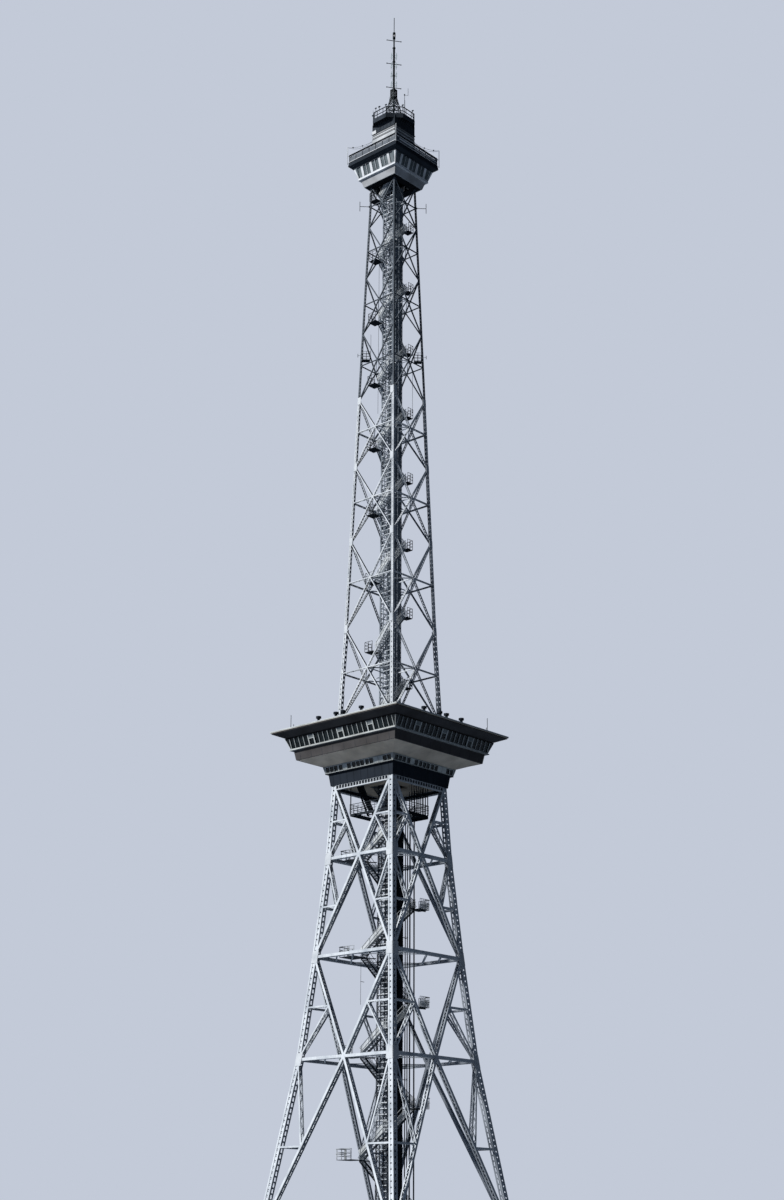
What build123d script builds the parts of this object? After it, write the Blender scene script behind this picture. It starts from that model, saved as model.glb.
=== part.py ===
from build123d import *
import os
from math import atan2, cos, degrees, hypot, radians, sin, tan

# A lattice radio mast with a restaurant at a third of its height and a look-out cabin at its head.
# Every length is a millimetre of the 1:10 model, so 100 is one metre of the tower itself.
# X runs to the right of the front face, Y to the back and Z up. The front face looks along -Y.

# Gap between pieces that seat on each other
clearance = 0.3

# Heights of the frame: the plinths, the four parts of the tall crossed panels under the ring beam,
# and the crossed panels from the restaurant roof to the head
plinth_height = 300
lower_panel_heights = [1720, 1040, 1030, 790]
panel_heights = [1186, 1030, 910, 830, 865, 730, 685, 550]

# Half of the distance between the outer corners of two neighbouring legs, from the ground up
plinth_half = 920
first_crossing_half = 662
waist_half = 560
second_crossing_half = 475
ring_half = 435
kink_half = 360
head_half = 192

# Steel members of the frame
lower_leg_width = 60
upper_leg_width = 34
brace_width = 26
brace_depth = 50
sub_brace_width = 16
strut_height = 30
upper_brace_width = 18
upper_brace_depth = 20
upper_strut_width = 14
slender_leg_width = 20
slender_brace_width = 11
slender_brace_depth = 14
slender_strut_width = 8
gusset_thickness = 3
lower_gusset_height = 130
lower_gusset_width = 84
upper_gusset_height = 90
upper_gusset_width = 50

# Plinths and shoes under the legs
plinth_margin = 26
plinth_batter = 40
shoe_margin = 14
shoe_height = 16

# Lift shaft and the pipes beside it
shaft_half = 85
shaft_post_width = 12
shaft_bar_width = 8
shaft_pad_half = 250
shaft_pad_height = 30
pipe_radius = 5
pipe_centres = (95, 128)
clamp_size = 5
clamp_spacing = 720

# Stair round the shaft: wide below the service platform and narrow above it
stair_hand = 1
platform_drop = 300
lower_flights = 18
kitchen_flights = 4
upper_flights = 35
lower_stair_half = 240
lower_stair_width = 84
lower_risers = 8
upper_stair_half = 146
upper_risers = 7
landing_thickness = 5
far_balcony_projection = 62
near_balcony_projection = 120
tread_thickness = 3
stringer_depth = 16
stringer_lip = 1
stringer_thickness = 4
bracket_width = 10
rail_height = 105
rail_width = 5

# Service platform hung below the kitchen
platform_projection = 55
platform_thickness = 10
hanger_width = 8

# Kitchen storey on the ring beam: heights, and how far each part steps or leans out
ring_beam_height = 24
ring_beam_projection = 6
kitchen_wall_height = 130
kitchen_window_height = 75
kitchen_wall_step = 11
kitchen_wall_lean = 18
kitchen_sill_step = 23
kitchen_window_lean = 21
kitchen_wall_thickness = 8
kitchen_floor_thickness = 14
kitchen_floor_inset = 4
kitchen_bays = [3, 3, 3, 3, 3]

# Restaurant storey: heights, and how far each part steps or leans out
soffit_rise = 75
skirt_height = 110
window_height = 122
eave_rise = 72
soffit_spread = 204
skirt_lean = 18
sill_step = 35
sill_thickness = 8
window_setback = 13
window_lean = 50
eave_spread = 112
eave_drop = 24
eave_inset = 9
eave_thickness = 4
wall_thickness = 12
soffit_thickness = 6
floor_thickness = 16
roof_thickness = 14
restaurant_bays = [4, 1, 5, 1, 5, 1, 4]
post_width = 9
corner_post_width = 16
window_edge = 9
glass_thickness = 3

# Look-out cabin under the head
cabin_overhang = 56
apron_height = 90
apron_lean = 27
cabin_sill_height = 20
cabin_sill_step = 21
cabin_window_height = 140
cabin_window_lean = 44
cabin_eave_rise = 30
cabin_eave_spread = 47
cabin_bays = [1, 2, 2, 2, 1]
pier_width = 30
cabin_wall_thickness = 9
cabin_floor_thickness = 14
fascia_height = 60
deck_inset = 7
deck_thickness = 12
parapet_height = 92
parapet_inset = 3
parapet_thickness = 4

# Machine room, gallery and mast
machine_room_half = 180
machine_room_height = 530
gallery_half = 252
gallery_thickness = 12
gallery_rail_inset = 6
mast_foot_half = 150
mast_foot_height = 394
mast_foot_levels = [0, 0.45, 0.8]
mast_foot_bar = 9
mast_foot_brace = 6
mast_box_half = 31
mast_box_height = 114
mast_box_plate = 8
mast_tube_radius = 13
mast_tube_length = 610
mast_upper_radius = 9
mast_upper_length = 130
beacon_height = 90
beacon_radius = 17
whip_radius = 4
whip_length = 220
low_crossbar_rise = 31
middle_crossbar_drop = 235
top_crossbar_drop = 27
crossbar_length = 170
crossbar_heading = 54
crossbar_radius = 4
knob_radius = 7
knob_length = 8

lower_levels = [plinth_height]
for height in lower_panel_heights:
    lower_levels.append(lower_levels[-1] + height)
ring_z = lower_levels[-1]
platform_z = ring_z - platform_drop

kitchen_sill_z = ring_z + kitchen_wall_height
kitchen_head_z = kitchen_sill_z + kitchen_window_height
kitchen_wall_half = ring_half + kitchen_wall_step
kitchen_wall_top_half = kitchen_wall_half + kitchen_wall_lean
kitchen_sill_half = kitchen_wall_top_half + kitchen_sill_step
kitchen_head_half = kitchen_sill_half + kitchen_window_lean

skirt_z = kitchen_head_z + soffit_rise
sill_z = skirt_z + skirt_height
window_head_z = sill_z + window_height
restaurant_roof_z = window_head_z + eave_rise
skirt_half = kitchen_head_half + soffit_spread
skirt_top_half = skirt_half + skirt_lean
sill_half = skirt_top_half + sill_step
window_foot_half = sill_half - window_setback
window_head_half = window_foot_half + window_lean
eave_half = window_head_half + eave_spread

panel_nodes = [restaurant_roof_z]
for height in panel_heights:
    panel_nodes.append(panel_nodes[-1] + height)
kink_z = panel_nodes[1]
slender_z = panel_nodes[4]
head_z = panel_nodes[-1]

apron_top_z = head_z + apron_height
cabin_sill_z = apron_top_z + cabin_sill_height
cabin_head_z = cabin_sill_z + cabin_window_height
fascia_foot_z = cabin_head_z + cabin_eave_rise
deck_z = fascia_foot_z + fascia_height
gallery_z = deck_z + machine_room_height
cabin_floor_half = head_half + cabin_overhang
apron_top_half = cabin_floor_half + apron_lean
cabin_sill_half = apron_top_half + cabin_sill_step
cabin_head_half = cabin_sill_half + cabin_window_lean
fascia_foot_half = cabin_head_half + cabin_eave_spread
deck_half = fascia_foot_half - deck_inset
parapet_half = deck_half - parapet_inset

turns = {"front": 0, "right": 90, "back": 180, "left": 270}

leg_halves = [plinth_half, first_crossing_half, waist_half, second_crossing_half, ring_half]
leg_profile = list(zip(lower_levels, leg_halves)) + [(kink_z, kink_half), (head_z, head_half)]


def half_at(z):
    """Half of the side of the frame, outside the legs, at a height."""
    for (z0, half0), (z1, half1) in zip(leg_profile, leg_profile[1:]):
        if z <= z1:
            return half0 + (half1 - half0) * (z - z0) / (z1 - z0)
    return head_half


def block(x0, x1, y0, y1, z0, z1):
    """A box between two corners."""
    return Pos((x0 + x1) / 2, (y0 + y1) / 2, (z0 + z1) / 2) * Box(x1 - x0, y1 - y0, z1 - z0)


def bar(start, end, width, depth):
    """A straight bar of rectangular section between two points; its width lies level."""
    start = Vector(*start)
    line = Vector(*end) - start
    level = Vector(-line.Y, line.X, 0)
    if level.length < 1e-6:
        level = Vector(1, 0, 0)
    place = Plane(origin=start, x_dir=level, z_dir=line)
    return extrude(place * Rectangle(width, depth), amount=line.length)


def rod(start, end, radius, sides=8):
    """A rod or tube of few sides between two points; the radius is that of its flats."""
    start = Vector(*start)
    line = Vector(*end) - start
    section = RegularPolygon(radius, sides, major_radius=False)
    return extrude(Plane(origin=start, z_dir=line) * section, amount=line.length)


def strip(start, end, width):
    """Flat outline of a bar between two points of a plane."""
    dx = end[0] - start[0]
    dy = end[1] - start[1]
    length = hypot(dx, dy)
    nx = -dy / length * width / 2
    ny = dx / length * width / 2
    corners = [(start[0] + nx, start[1] + ny), (start[0] - nx, start[1] - ny)]
    corners += [(end[0] - nx, end[1] - ny), (end[0] + nx, end[1] + ny)]
    return Polygon(*corners, align=None)


def face_plane(z0, half0, z1, half1):
    """Plane of the front side of a square frustum: x level, y up the slope, z outwards."""
    lean = half1 - half0
    return Plane(origin=(0, -half0, z0), x_dir=(1, 0, 0), z_dir=(0, z0 - z1, -lean))


def mitre(reach, z0, z1):
    """The quarter of a square that belongs to the front side."""
    quarter = Polygon((0, 0), (-reach, -reach), (reach, -reach), align=None)
    return extrude(Pos(0, -clearance, z0) * quarter, amount=z1 - z0)


def sloping_panel(z0, half0, z1, half1, thickness, holes=(), inwards=(0, 1, 0)):
    """The front side of a square frustum as a slab with holes, mitred at its ends.

    Its foot and head are level where the thickness runs inwards, and upright where it runs up.
    """
    slope = hypot(z1 - z0, half1 - half0)
    outline = Polygon((-half0, 0), (half0, 0), (half1, slope), (-half1, slope), align=None)
    for x0, x1, y0, y1 in holes:
        outline -= Pos((x0 + x1) / 2, (y0 + y1) / 2) * Rectangle(x1 - x0, y1 - y0)
    panel = extrude(face_plane(z0, half0, z1, half1) * outline, amount=thickness, dir=inwards)
    return panel & mitre(2 * max(half0, half1), z0, z1 + thickness)


def ledge(outer, inner, z0, z1):
    """The front side of a flat square ring, mitred at its ends."""
    return block(-outer, outer, -outer, -inner, z0, z1) & mitre(2 * outer, z0, z1)


def all_round(piece):
    """The same piece on all four sides."""
    return [Rot(0, 0, turn) * piece for turn in turns.values()]


def solids_of(pieces):
    """All solids of a list of pieces, in one flat list."""
    solids = []
    for piece in pieces:
        solids.extend(piece.solids())
    return solids


def save(name, pieces):
    """Write one node."""
    if not isinstance(pieces, list):
        pieces = [pieces]
    solids = solids_of(pieces)
    shape = solids[0] if len(solids) == 1 else Compound(children=solids)
    export_step(shape, "parts/" + name + ".step")


os.makedirs("parts", exist_ok=True)

corners = {"near_right": (1, -1), "far_right": (1, 1), "far_left": (-1, 1), "near_left": (-1, -1)}

# Plinths: tapered concrete blocks, each with a steel shoe on which a leg stands.
plinth_centre = plinth_half - lower_leg_width / 2
shoe_half = lower_leg_width / 2 + shoe_margin
plinth_top_half = shoe_half + plinth_margin
plinth_block_height = plinth_height - shoe_height - clearance
plinth_foot_side = 2 * (plinth_top_half + plinth_batter)
plinth_taper = degrees(atan2(plinth_batter, plinth_block_height))
plinths = []
shoes = []
for x_hand, y_hand in corners.values():
    centre = Pos(x_hand * plinth_centre, y_hand * plinth_centre, 0)
    foot = Rectangle(plinth_foot_side, plinth_foot_side)
    plinths.append(centre * extrude(foot, amount=plinth_block_height, taper=plinth_taper))
    shoe = Box(2 * shoe_half, 2 * shoe_half, shoe_height - clearance)
    shoes.append(centre * Pos(0, 0, plinth_height - shoe_height / 2 - clearance) * shoe)
save("leg_plinths", plinths)
save("leg_shoes", shoes)


def leg_run(z0, z1, width, x_hand, y_hand):
    """One straight run of a leg. Its outer faces lie in the two sides of the frame."""
    start = Vector(x_hand * (half_at(z0) - width / 2), y_hand * (half_at(z0) - width / 2), z0)
    end = Vector(x_hand * (half_at(z1) - width / 2), y_hand * (half_at(z1) - width / 2), z1)
    line = end - start
    share = 1 - clearance / line.length
    return extrude(Pos(*start) * Rectangle(width, width), amount=line.length * share, dir=line)


# Legs: four legs, in straight runs from node to node, lighter above the kitchen floor and slender from
# the fourth node above the restaurant up to the head.
lower_legs = []
upper_legs = []
for x_hand, y_hand in corners.values():
    for z0, z1 in zip(lower_levels, lower_levels[1:]):
        lower_legs.append(leg_run(z0, z1, lower_leg_width, x_hand, y_hand))
    for z0, z1 in [(ring_z, kink_z), (kink_z, slender_z)]:
        upper_legs.append(leg_run(z0, z1, upper_leg_width, x_hand, y_hand))
    upper_legs.append(leg_run(slender_z, head_z, slender_leg_width, x_hand, y_hand))
save("lower_legs", lower_legs)
save("upper_legs", upper_legs)


def half_panel(z0, z1, meet_at_top, hand):
    """Brace of one half of a tall crossed panel, with its sub-strut and sub-diagonal, on one hand."""
    half0 = half_at(z0)
    half1 = half_at(z1)
    slope = hypot(z1 - z0, half1 - half0)
    foot = half0 - lower_leg_width / 2
    head = half1 - lower_leg_width / 2
    if meet_at_top:
        leg_end, middle_end, leg_node = (hand * foot, 0), (0, slope), (hand * head, slope)
    else:
        leg_end, middle_end, leg_node = (hand * head, slope), (0, 0), (hand * foot, 0)
    centre = ((leg_end[0] + middle_end[0]) / 2, slope / 2)
    outline = strip(leg_end, middle_end, brace_width)
    outline += strip((hand * (foot + head) / 2, slope / 2), centre, sub_brace_width)
    outline += strip(leg_node, centre, sub_brace_width)
    strut_edge = (strut_height / 2 + clearance) * slope / (z1 - z0)
    low = clearance if z0 == plinth_height else strut_edge
    high = slope - strut_edge
    inner0 = half0 + (half1 - half0) * low / slope - lower_leg_width - clearance
    inner1 = half0 + (half1 - half0) * high / slope - lower_leg_width - clearance
    near, middle = hand * clearance, hand * inner0
    region = Polygon((near, low), (middle, low), (hand * inner1, high), (near, high), align=None)
    placed = face_plane(z0, half0, z1, half1) * (outline & region)
    return extrude(placed, amount=brace_depth, dir=(0, 1, 0))


# Lower bracing: two tall crossed panels on each side, in four half panels that follow the bent legs.
front_bracing = []
for index, (z0, z1) in enumerate(zip(lower_levels, lower_levels[1:])):
    for hand in (-1, 1):
        front_bracing.append(half_panel(z0, z1, index % 2 == 0, hand))
for name, turn in turns.items():
    save(name + "_lower_bracing", [Rot(0, 0, turn) * piece for piece in front_bracing])

# Struts: level members between the legs at each node of the lower bracing.
struts = []
for z in lower_levels[1:-1]:
    outer = half_at(z + strut_height / 2)
    reach = outer - lower_leg_width - clearance
    foot = z - strut_height / 2
    struts += all_round(block(-reach, reach, -outer, -outer + brace_depth, foot, foot + strut_height))
save("level_struts", struts)


def crossed_panels(nodes, halves, leg_width, brace, strut, depth):
    """Crossed panels of one side between straight legs, with a level strut through each crossing."""
    z0, z1 = nodes[0], nodes[-1]
    lean = hypot(z1 - z0, halves[-1] - halves[0]) / (z1 - z0)
    outline = None
    levels = list(zip(nodes, halves))
    for (foot_z, foot_half), (top_z, top_half) in zip(levels, levels[1:]):
        foot = foot_half - leg_width / 2
        top = top_half - leg_width / 2
        foot_s = (foot_z - z0) * lean
        top_s = (top_z - z0) * lean
        cross_s = foot_s + (top_s - foot_s) * foot / (foot + top)
        reach = foot + (top - foot) * foot / (foot + top)
        members = strip((-foot, foot_s), (top, top_s), brace)
        members += strip((foot, foot_s), (-top, top_s), brace)
        if strut:
            members += strip((-reach, cross_s), (reach, cross_s), strut)
        outline = members if outline is None else outline + members
    inner0 = halves[0] - leg_width - clearance
    inner1 = halves[-1] - leg_width - clearance
    top = (z1 - z0) * lean - 2 * clearance
    foot = 2 * clearance
    region = Polygon((-inner0, foot), (inner0, foot), (inner1, top), (-inner1, top), align=None)
    placed = face_plane(z0, halves[0], z1, halves[-1]) * (outline & region)
    return extrude(placed, amount=depth, dir=(0, 1, 0))


# Upper lattice: eight crossed panels a side from the restaurant roof to the cabin.
upper_sizes = (upper_leg_width, upper_brace_width, upper_strut_width, upper_brace_depth)
slender_sizes = (slender_leg_width, slender_brace_width, slender_strut_width, slender_brace_depth)
front_lattice = []
for nodes, sizes in [
    (panel_nodes[:2], upper_sizes),
    (panel_nodes[1:5], upper_sizes),
    (panel_nodes[4:], slender_sizes),
]:
    halves = [half_at(z) for z in nodes]
    front_lattice.append(crossed_panels(nodes, halves, *sizes))
for name, turn in turns.items():
    save(name + "_upper_lattice", [Rot(0, 0, turn) * piece for piece in front_lattice])


def gusset(z, width, height, hand):
    """A plate over the outer face of a leg at a node, on the front side, clear of the leg's bend."""
    foot_z, top_z = z - height / 2, z + height / 2
    bend = max(0, half_at(z) - (half_at(foot_z) + half_at(top_z)) / 2)
    half0, half1 = half_at(foot_z) + bend, half_at(top_z) + bend
    slope = hypot(top_z - foot_z, half1 - half0)
    foot = (hand * (half0 - clearance), hand * (half0 - width))
    top = (hand * (half1 - width), hand * (half1 - clearance))
    outline = Polygon((foot[0], 0), (foot[1], 0), (top[0], slope), (top[1], slope), align=None)
    seat = face_plane(foot_z, half0 + clearance, top_z, half1 + clearance)
    return extrude(seat * outline, amount=gusset_thickness, dir=(0, -1, 0))


# Gussets: plates that join the bracing to the legs, two at each node of a leg below the slender part.
gussets = []
for hand in (-1, 1):
    for z in lower_levels[1:-1]:
        gussets += all_round(gusset(z, lower_gusset_width, lower_gusset_height, hand))
    for z in panel_nodes[1:5]:
        gussets += all_round(gusset(z, upper_gusset_width, upper_gusset_height, hand))
save("gusset_plates", gussets)

# Lift shaft: four posts on a pad, tied by level bars, open between them.
post_centre = shaft_half - shaft_post_width / 2
post_foot_z = shaft_pad_height + clearance
posts = []
for x_hand, y_hand in corners.values():
    middle = Pos(x_hand * post_centre, y_hand * post_centre, (post_foot_z + head_z) / 2)
    posts.append(middle * Box(shaft_post_width, shaft_post_width, head_z - post_foot_z))
save(
    "lift_shaft_pad",
    block(-shaft_pad_half, shaft_pad_half, -shaft_pad_half, shaft_pad_half, 0, shaft_pad_height),
)

# Stair: flights along the sides of a square round the shaft, each from the landing at one corner to the
# next. Corner 0 is the near right one, and the corners are counted counterclockwise. The stair is wide up
# to the service platform and narrow above it, and the posts of the shaft are tied below each fourth landing.
stair_foot_z = shaft_pad_height + landing_thickness + clearance
restaurant_floor_z = skirt_z + soffit_thickness + clearance + floor_thickness
cabin_floor_z = head_z + cabin_floor_thickness
upper_stair_width = upper_stair_half - shaft_half - clearance
core_hole_half = upper_stair_half + clearance
far_right = 1
near_left = 3
balcony_projections = {far_right: far_balcony_projection, near_left: near_balcony_projection}
landings = []
treads = []
stringers = []
brackets = []
railings = []


def landing_plate(x0, x1, y0, y1, z):
    """A plate at the corner where a flight starts, between two reaches each way."""
    low, high = sorted((-stair_hand * y0, -stair_hand * y1))
    return block(x0, x1, low, high, z - landing_thickness, z)


def balcony_railing(inner, outer, z):
    """Posts and rails round the two outer edges of a landing that stands out."""
    edge = outer - rail_width - clearance
    pieces = []
    for x, y in [(inner, edge), (edge, edge), (edge, inner)]:
        y0, y1 = sorted((-stair_hand * y, -stair_hand * (y + rail_width)))
        pieces.append(block(x, x + rail_width, y0, y1, z + clearance, z + rail_height))
    far = outer + rail_width
    corner_line = [(outer, -stair_hand * outer), (far, -stair_hand * far)]
    near_ends = [(inner, -stair_hand * far), (inner, -stair_hand * outer)]
    side_ends = [(far, -stair_hand * inner), (outer, -stair_hand * inner)]
    for rail_z in (z + rail_height / 2, z + rail_height - rail_width):
        for ends in (near_ends, side_ends):
            rail = Polygon(*corner_line, *ends, align=None)
            pieces.append(extrude(Pos(0, 0, rail_z) * rail, amount=rail_width, dir=(0, 0, 1)))
    return pieces


def stair_run(foot_z, top_z, flights, outer, width, risers, first_corner, foot_landing=True):
    """So many equal flights between two heights, from one corner of the shaft."""
    inner = outer - width
    stands_off = inner > shaft_half + 2 * clearance
    inner_string = inner + (bracket_width if stands_off else 0)
    rise = (top_z - foot_z) / flights
    riser = rise / risers
    going = 2 * inner / (risers - 1)
    edge = inner - clearance
    for index in range(flights):
        z = foot_z + index * rise
        corner = (first_corner + stair_hand * index) % 4
        place = Rot(0, 0, 90 * corner)
        if index > 0 or foot_landing:
            projection = balcony_projections.get(corner, 0) if stands_off else 0
            reach = outer + projection
            landings.append(place * landing_plate(inner, reach, inner, reach, z))
            if projection:
                railings.extend(place * piece for piece in balcony_railing(outer, reach, z))
        for step in range(1, risers):
            y = stair_hand * (-inner + (step - 0.5) * going)
            tread_z = z + step * riser
            tread = block(
                inner_string + stringer_thickness + clearance,
                outer - stringer_thickness - clearance,
                y - going / 2 + clearance,
                y + going / 2 - clearance,
                tread_z - tread_thickness,
                tread_z,
            )
            treads.append(place * tread)
        profile = Polygon(
            (-stair_hand * edge, z - landing_thickness),
            (stair_hand * edge, z + rise - stringer_depth),
            (stair_hand * edge, z + rise + stringer_lip),
            (-stair_hand * edge, z + riser + stringer_lip),
            align=None,
        )
        for x in (inner_string, outer - stringer_thickness):
            stringers.append(place * extrude(Plane.YZ.offset(x) * profile, amount=stringer_thickness))
        if index % 4 == 0 and index > 0:
            tie_z = z - landing_thickness - clearance - shaft_bar_width
            reach = shaft_half - shaft_post_width - clearance
            inside = -shaft_half + shaft_bar_width
            tie = block(-reach, reach, -shaft_half, inside, tie_z, tie_z + shaft_bar_width)
            posts.extend(all_round(tie))
        if stands_off and index > 0:
            start = shaft_half + clearance + bracket_width / 2
            end = (inner + outer) / 2
            bracket_z = z - landing_thickness - clearance - bracket_width / 2
            foot = (start, -stair_hand * start, bracket_z)
            tip = (end, -stair_hand * end, bracket_z)
            brackets.append(place * bar(foot, tip, bracket_width, bracket_width))


lower_corner = far_right - stair_hand * lower_flights
stair_run(
    stair_foot_z,
    platform_z,
    lower_flights,
    lower_stair_half,
    lower_stair_width,
    lower_risers,
    lower_corner,
)
# The wide stair ends on a plate at the platform, and a second plate leads from it to the narrow stair.
lower_inner = lower_stair_half - lower_stair_width
shaft_side = shaft_half + clearance
landings += [
    Rot(0, 0, 90 * far_right)
    * landing_plate(lower_inner, lower_stair_half, lower_inner, lower_stair_half, platform_z),
    Rot(0, 0, 90 * far_right)
    * landing_plate(shaft_side, lower_stair_half, shaft_side, lower_inner - clearance, platform_z),
]
stair_run(
    platform_z,
    restaurant_floor_z,
    kitchen_flights,
    upper_stair_half,
    upper_stair_width,
    upper_risers,
    far_right,
    foot_landing=False,
)
stair_run(
    restaurant_floor_z,
    cabin_floor_z,
    upper_flights,
    upper_stair_half,
    upper_stair_width,
    upper_risers,
    far_right,
)
save("stair_landings", landings)
save("stair_treads", treads)
save("stair_stringers", stringers)
save("stair_brackets", brackets)
save("stair_railings", railings)
save("lift_shaft_frame", posts)

# Pipes: two risers beside the shaft up to the service platform, each clamp an arm and a crosspiece.
pipe_x = lower_inner - 2 * clearance - pipe_radius
pipe_top_z = platform_z - landing_thickness - 2 * clearance
pipes = []
for y in pipe_centres:
    pipes.append(rod((pipe_x, y, post_foot_z), (pipe_x, y, pipe_top_z), pipe_radius))
crosspiece_end = pipe_x - pipe_radius - clearance
clamp_z = post_foot_z + clamp_spacing / 2
while clamp_z < pipe_top_z - clamp_size:
    foot = clamp_z - clamp_size / 2
    top = clamp_z + clamp_size / 2
    pipes.append(
        block(
            shaft_side, crosspiece_end, shaft_half - shaft_post_width, shaft_half - clearance, foot, top
        )
    )
    pipes.append(
        block(
            crosspiece_end - clamp_size,
            crosspiece_end,
            shaft_half,
            pipe_centres[-1] + pipe_radius,
            foot,
            top,
        )
    )
    clamp_z += clamp_spacing
save("service_pipes", pipes)

# Service platform: a ring of deck round the wide stair, hung from the kitchen floor, with its railing.
platform_inner = lower_stair_half + clearance
platform_outer = platform_inner + platform_projection
platform_foot_z = platform_z - platform_thickness
platform = []
for hand in (-1, 1):
    y0, y1 = sorted((hand * platform_inner, hand * platform_outer))
    platform.append(block(-platform_outer, platform_outer, y0, y1, platform_foot_z, platform_z))
    side = platform_inner - clearance
    platform.append(block(y0, y1, -side, side, platform_foot_z, platform_z))
hanger_inner = platform_outer - hanger_width
for x_hand, y_hand in corners.values():
    reach = platform_outer - hanger_width / 2
    hanger_foot_z = platform_z + clearance
    hanger_height = ring_z - clearance - hanger_foot_z
    middle = Pos(x_hand * reach, y_hand * reach, hanger_foot_z + hanger_height / 2)
    platform.append(middle * Box(hanger_width, hanger_width, hanger_height))
post_side = platform_outer - rail_width
platform += all_round(
    block(-rail_width / 2, rail_width / 2, -platform_outer, -post_side, platform_z + clearance,
          platform_z + rail_height)
)
rail_outer = platform_outer + clearance + rail_width
for rail_z in (platform_z + rail_height / 2, platform_z + rail_height - rail_width):
    platform += all_round(ledge(rail_outer, rail_outer - rail_width, rail_z, rail_z + rail_width))
save("service_platform", platform)


def floor_panels(outer, hole, z, thickness, leg_width):
    """A square floor in convex panels, with a square hole for the core and gaps for the four legs."""
    low = z - thickness
    leg_outer = half_at(low) + clearance
    leg_inner = half_at(z) - leg_width - 2 * clearance
    panels = []
    if outer > leg_outer:
        for hand in (-1, 1):
            y0, y1 = sorted((hand * leg_outer, hand * outer))
            panels.append(block(-outer, outer, y0, y1, low, z))
            panels.append(block(y0, y1, -leg_outer + clearance, leg_outer - clearance, low, z))
    edge = min(outer, leg_outer - clearance)
    for hand in (-1, 1):
        y0, y1 = sorted((hand * leg_inner, hand * edge))
        panels.append(block(-leg_inner, leg_inner, y0 + clearance / 2, y1, low, z))
        panels.append(block(y0 + clearance / 2, y1, -leg_inner, leg_inner, low, z))
        y0, y1 = sorted((hand * hole, hand * (leg_inner - clearance)))
        panels.append(block(-leg_inner + clearance, leg_inner - clearance, y0, y1, low, z))
        panels.append(block(y0, y1, -hole + clearance, hole - clearance, low, z))
    return panels


def window_band(z0, half0, z1, half1, thickness, bays, post):
    """A leaning band of wall with openings: bays hold so many panes each, with a post between bays."""
    slope = hypot(z1 - z0, half1 - half0)
    half = half0 + (half1 - half0) * window_edge / slope - corner_post_width
    pane = (2 * half - post * (len(bays) - 1)) / sum(bays)
    holes = []
    x = -half
    for count in bays:
        holes.append((x, x + count * pane, window_edge, slope - window_edge))
        x += count * pane + post
    return sloping_panel(z0, half0, z1, half1, thickness, holes)


def glass_sheet(z0, half0, z1, half1, thickness):
    """One sheet of glass against the inner face of a band of windows."""
    back = thickness + clearance
    return sloping_panel(z0, half0 - back, z1, half1 - back, glass_thickness)


# Kitchen storey: a dark wall that leans out, a sill and a band of windows under the restaurant.
ring_beam_foot_z = ring_z - ring_beam_height
ring_beam_outer = ring_half + ring_beam_projection
ring_beam_inner = half_at(ring_beam_foot_z) + clearance
save("ring_beam", all_round(ledge(ring_beam_outer, ring_beam_inner, ring_beam_foot_z, ring_z)))
kitchen_wall = sloping_panel(
    ring_z + clearance,
    kitchen_wall_half,
    kitchen_sill_z - clearance,
    kitchen_wall_top_half,
    kitchen_wall_thickness,
)
kitchen_levels = (kitchen_sill_z, kitchen_sill_half, kitchen_head_z, kitchen_head_half)
kitchen_band = window_band(*kitchen_levels, kitchen_wall_thickness, kitchen_bays, post_width)
save("kitchen_walls", all_round(kitchen_wall) + all_round(kitchen_band))
kitchen_floor_half = kitchen_wall_half - kitchen_wall_thickness - kitchen_floor_inset
kitchen_floor_z = ring_z + kitchen_floor_thickness
kitchen_floor = floor_panels(
    kitchen_floor_half, core_hole_half, kitchen_floor_z, kitchen_floor_thickness, upper_leg_width
)
save("kitchen_floor", kitchen_floor)
glass = all_round(glass_sheet(*kitchen_levels, kitchen_wall_thickness))

# Restaurant storey: sloping soffit, skirt, sill, a leaning band of windows, eave and flat roof.
up = (0, 0, 1)
soffit_half = skirt_half - wall_thickness - 2 * clearance
soffit_foot_half = kitchen_head_half - kitchen_wall_thickness
soffit = sloping_panel(
    kitchen_head_z + clearance, soffit_foot_half, skirt_z, soffit_half, soffit_thickness, inwards=up
)
save("restaurant_soffit", all_round(soffit))
floor_half = soffit_half - clearance
restaurant_floor = floor_panels(
    floor_half, core_hole_half, restaurant_floor_z, floor_thickness, upper_leg_width
)
save("restaurant_floor", restaurant_floor)
sill_foot_z = sill_z - sill_thickness
skirt = sloping_panel(skirt_z, skirt_half, sill_foot_z - clearance, skirt_top_half, wall_thickness)
sill = ledge(sill_half, skirt_top_half - wall_thickness, sill_foot_z, sill_z)
band_levels = (sill_z + clearance, window_foot_half, window_head_z, window_head_half)
band = window_band(*band_levels, wall_thickness, restaurant_bays, post_width)
save("restaurant_walls", all_round(skirt) + all_round(sill) + all_round(band))
glass += all_round(glass_sheet(*band_levels, wall_thickness))
eave = sloping_panel(
    window_head_z + clearance,
    window_head_half - wall_thickness,
    restaurant_roof_z - eave_drop,
    eave_half - eave_inset,
    eave_thickness,
    inwards=up,
)
save("restaurant_eaves", all_round(eave))
save(
    "restaurant_roof",
    floor_panels(eave_half, core_hole_half, restaurant_roof_z, roof_thickness, upper_leg_width),
)

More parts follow.
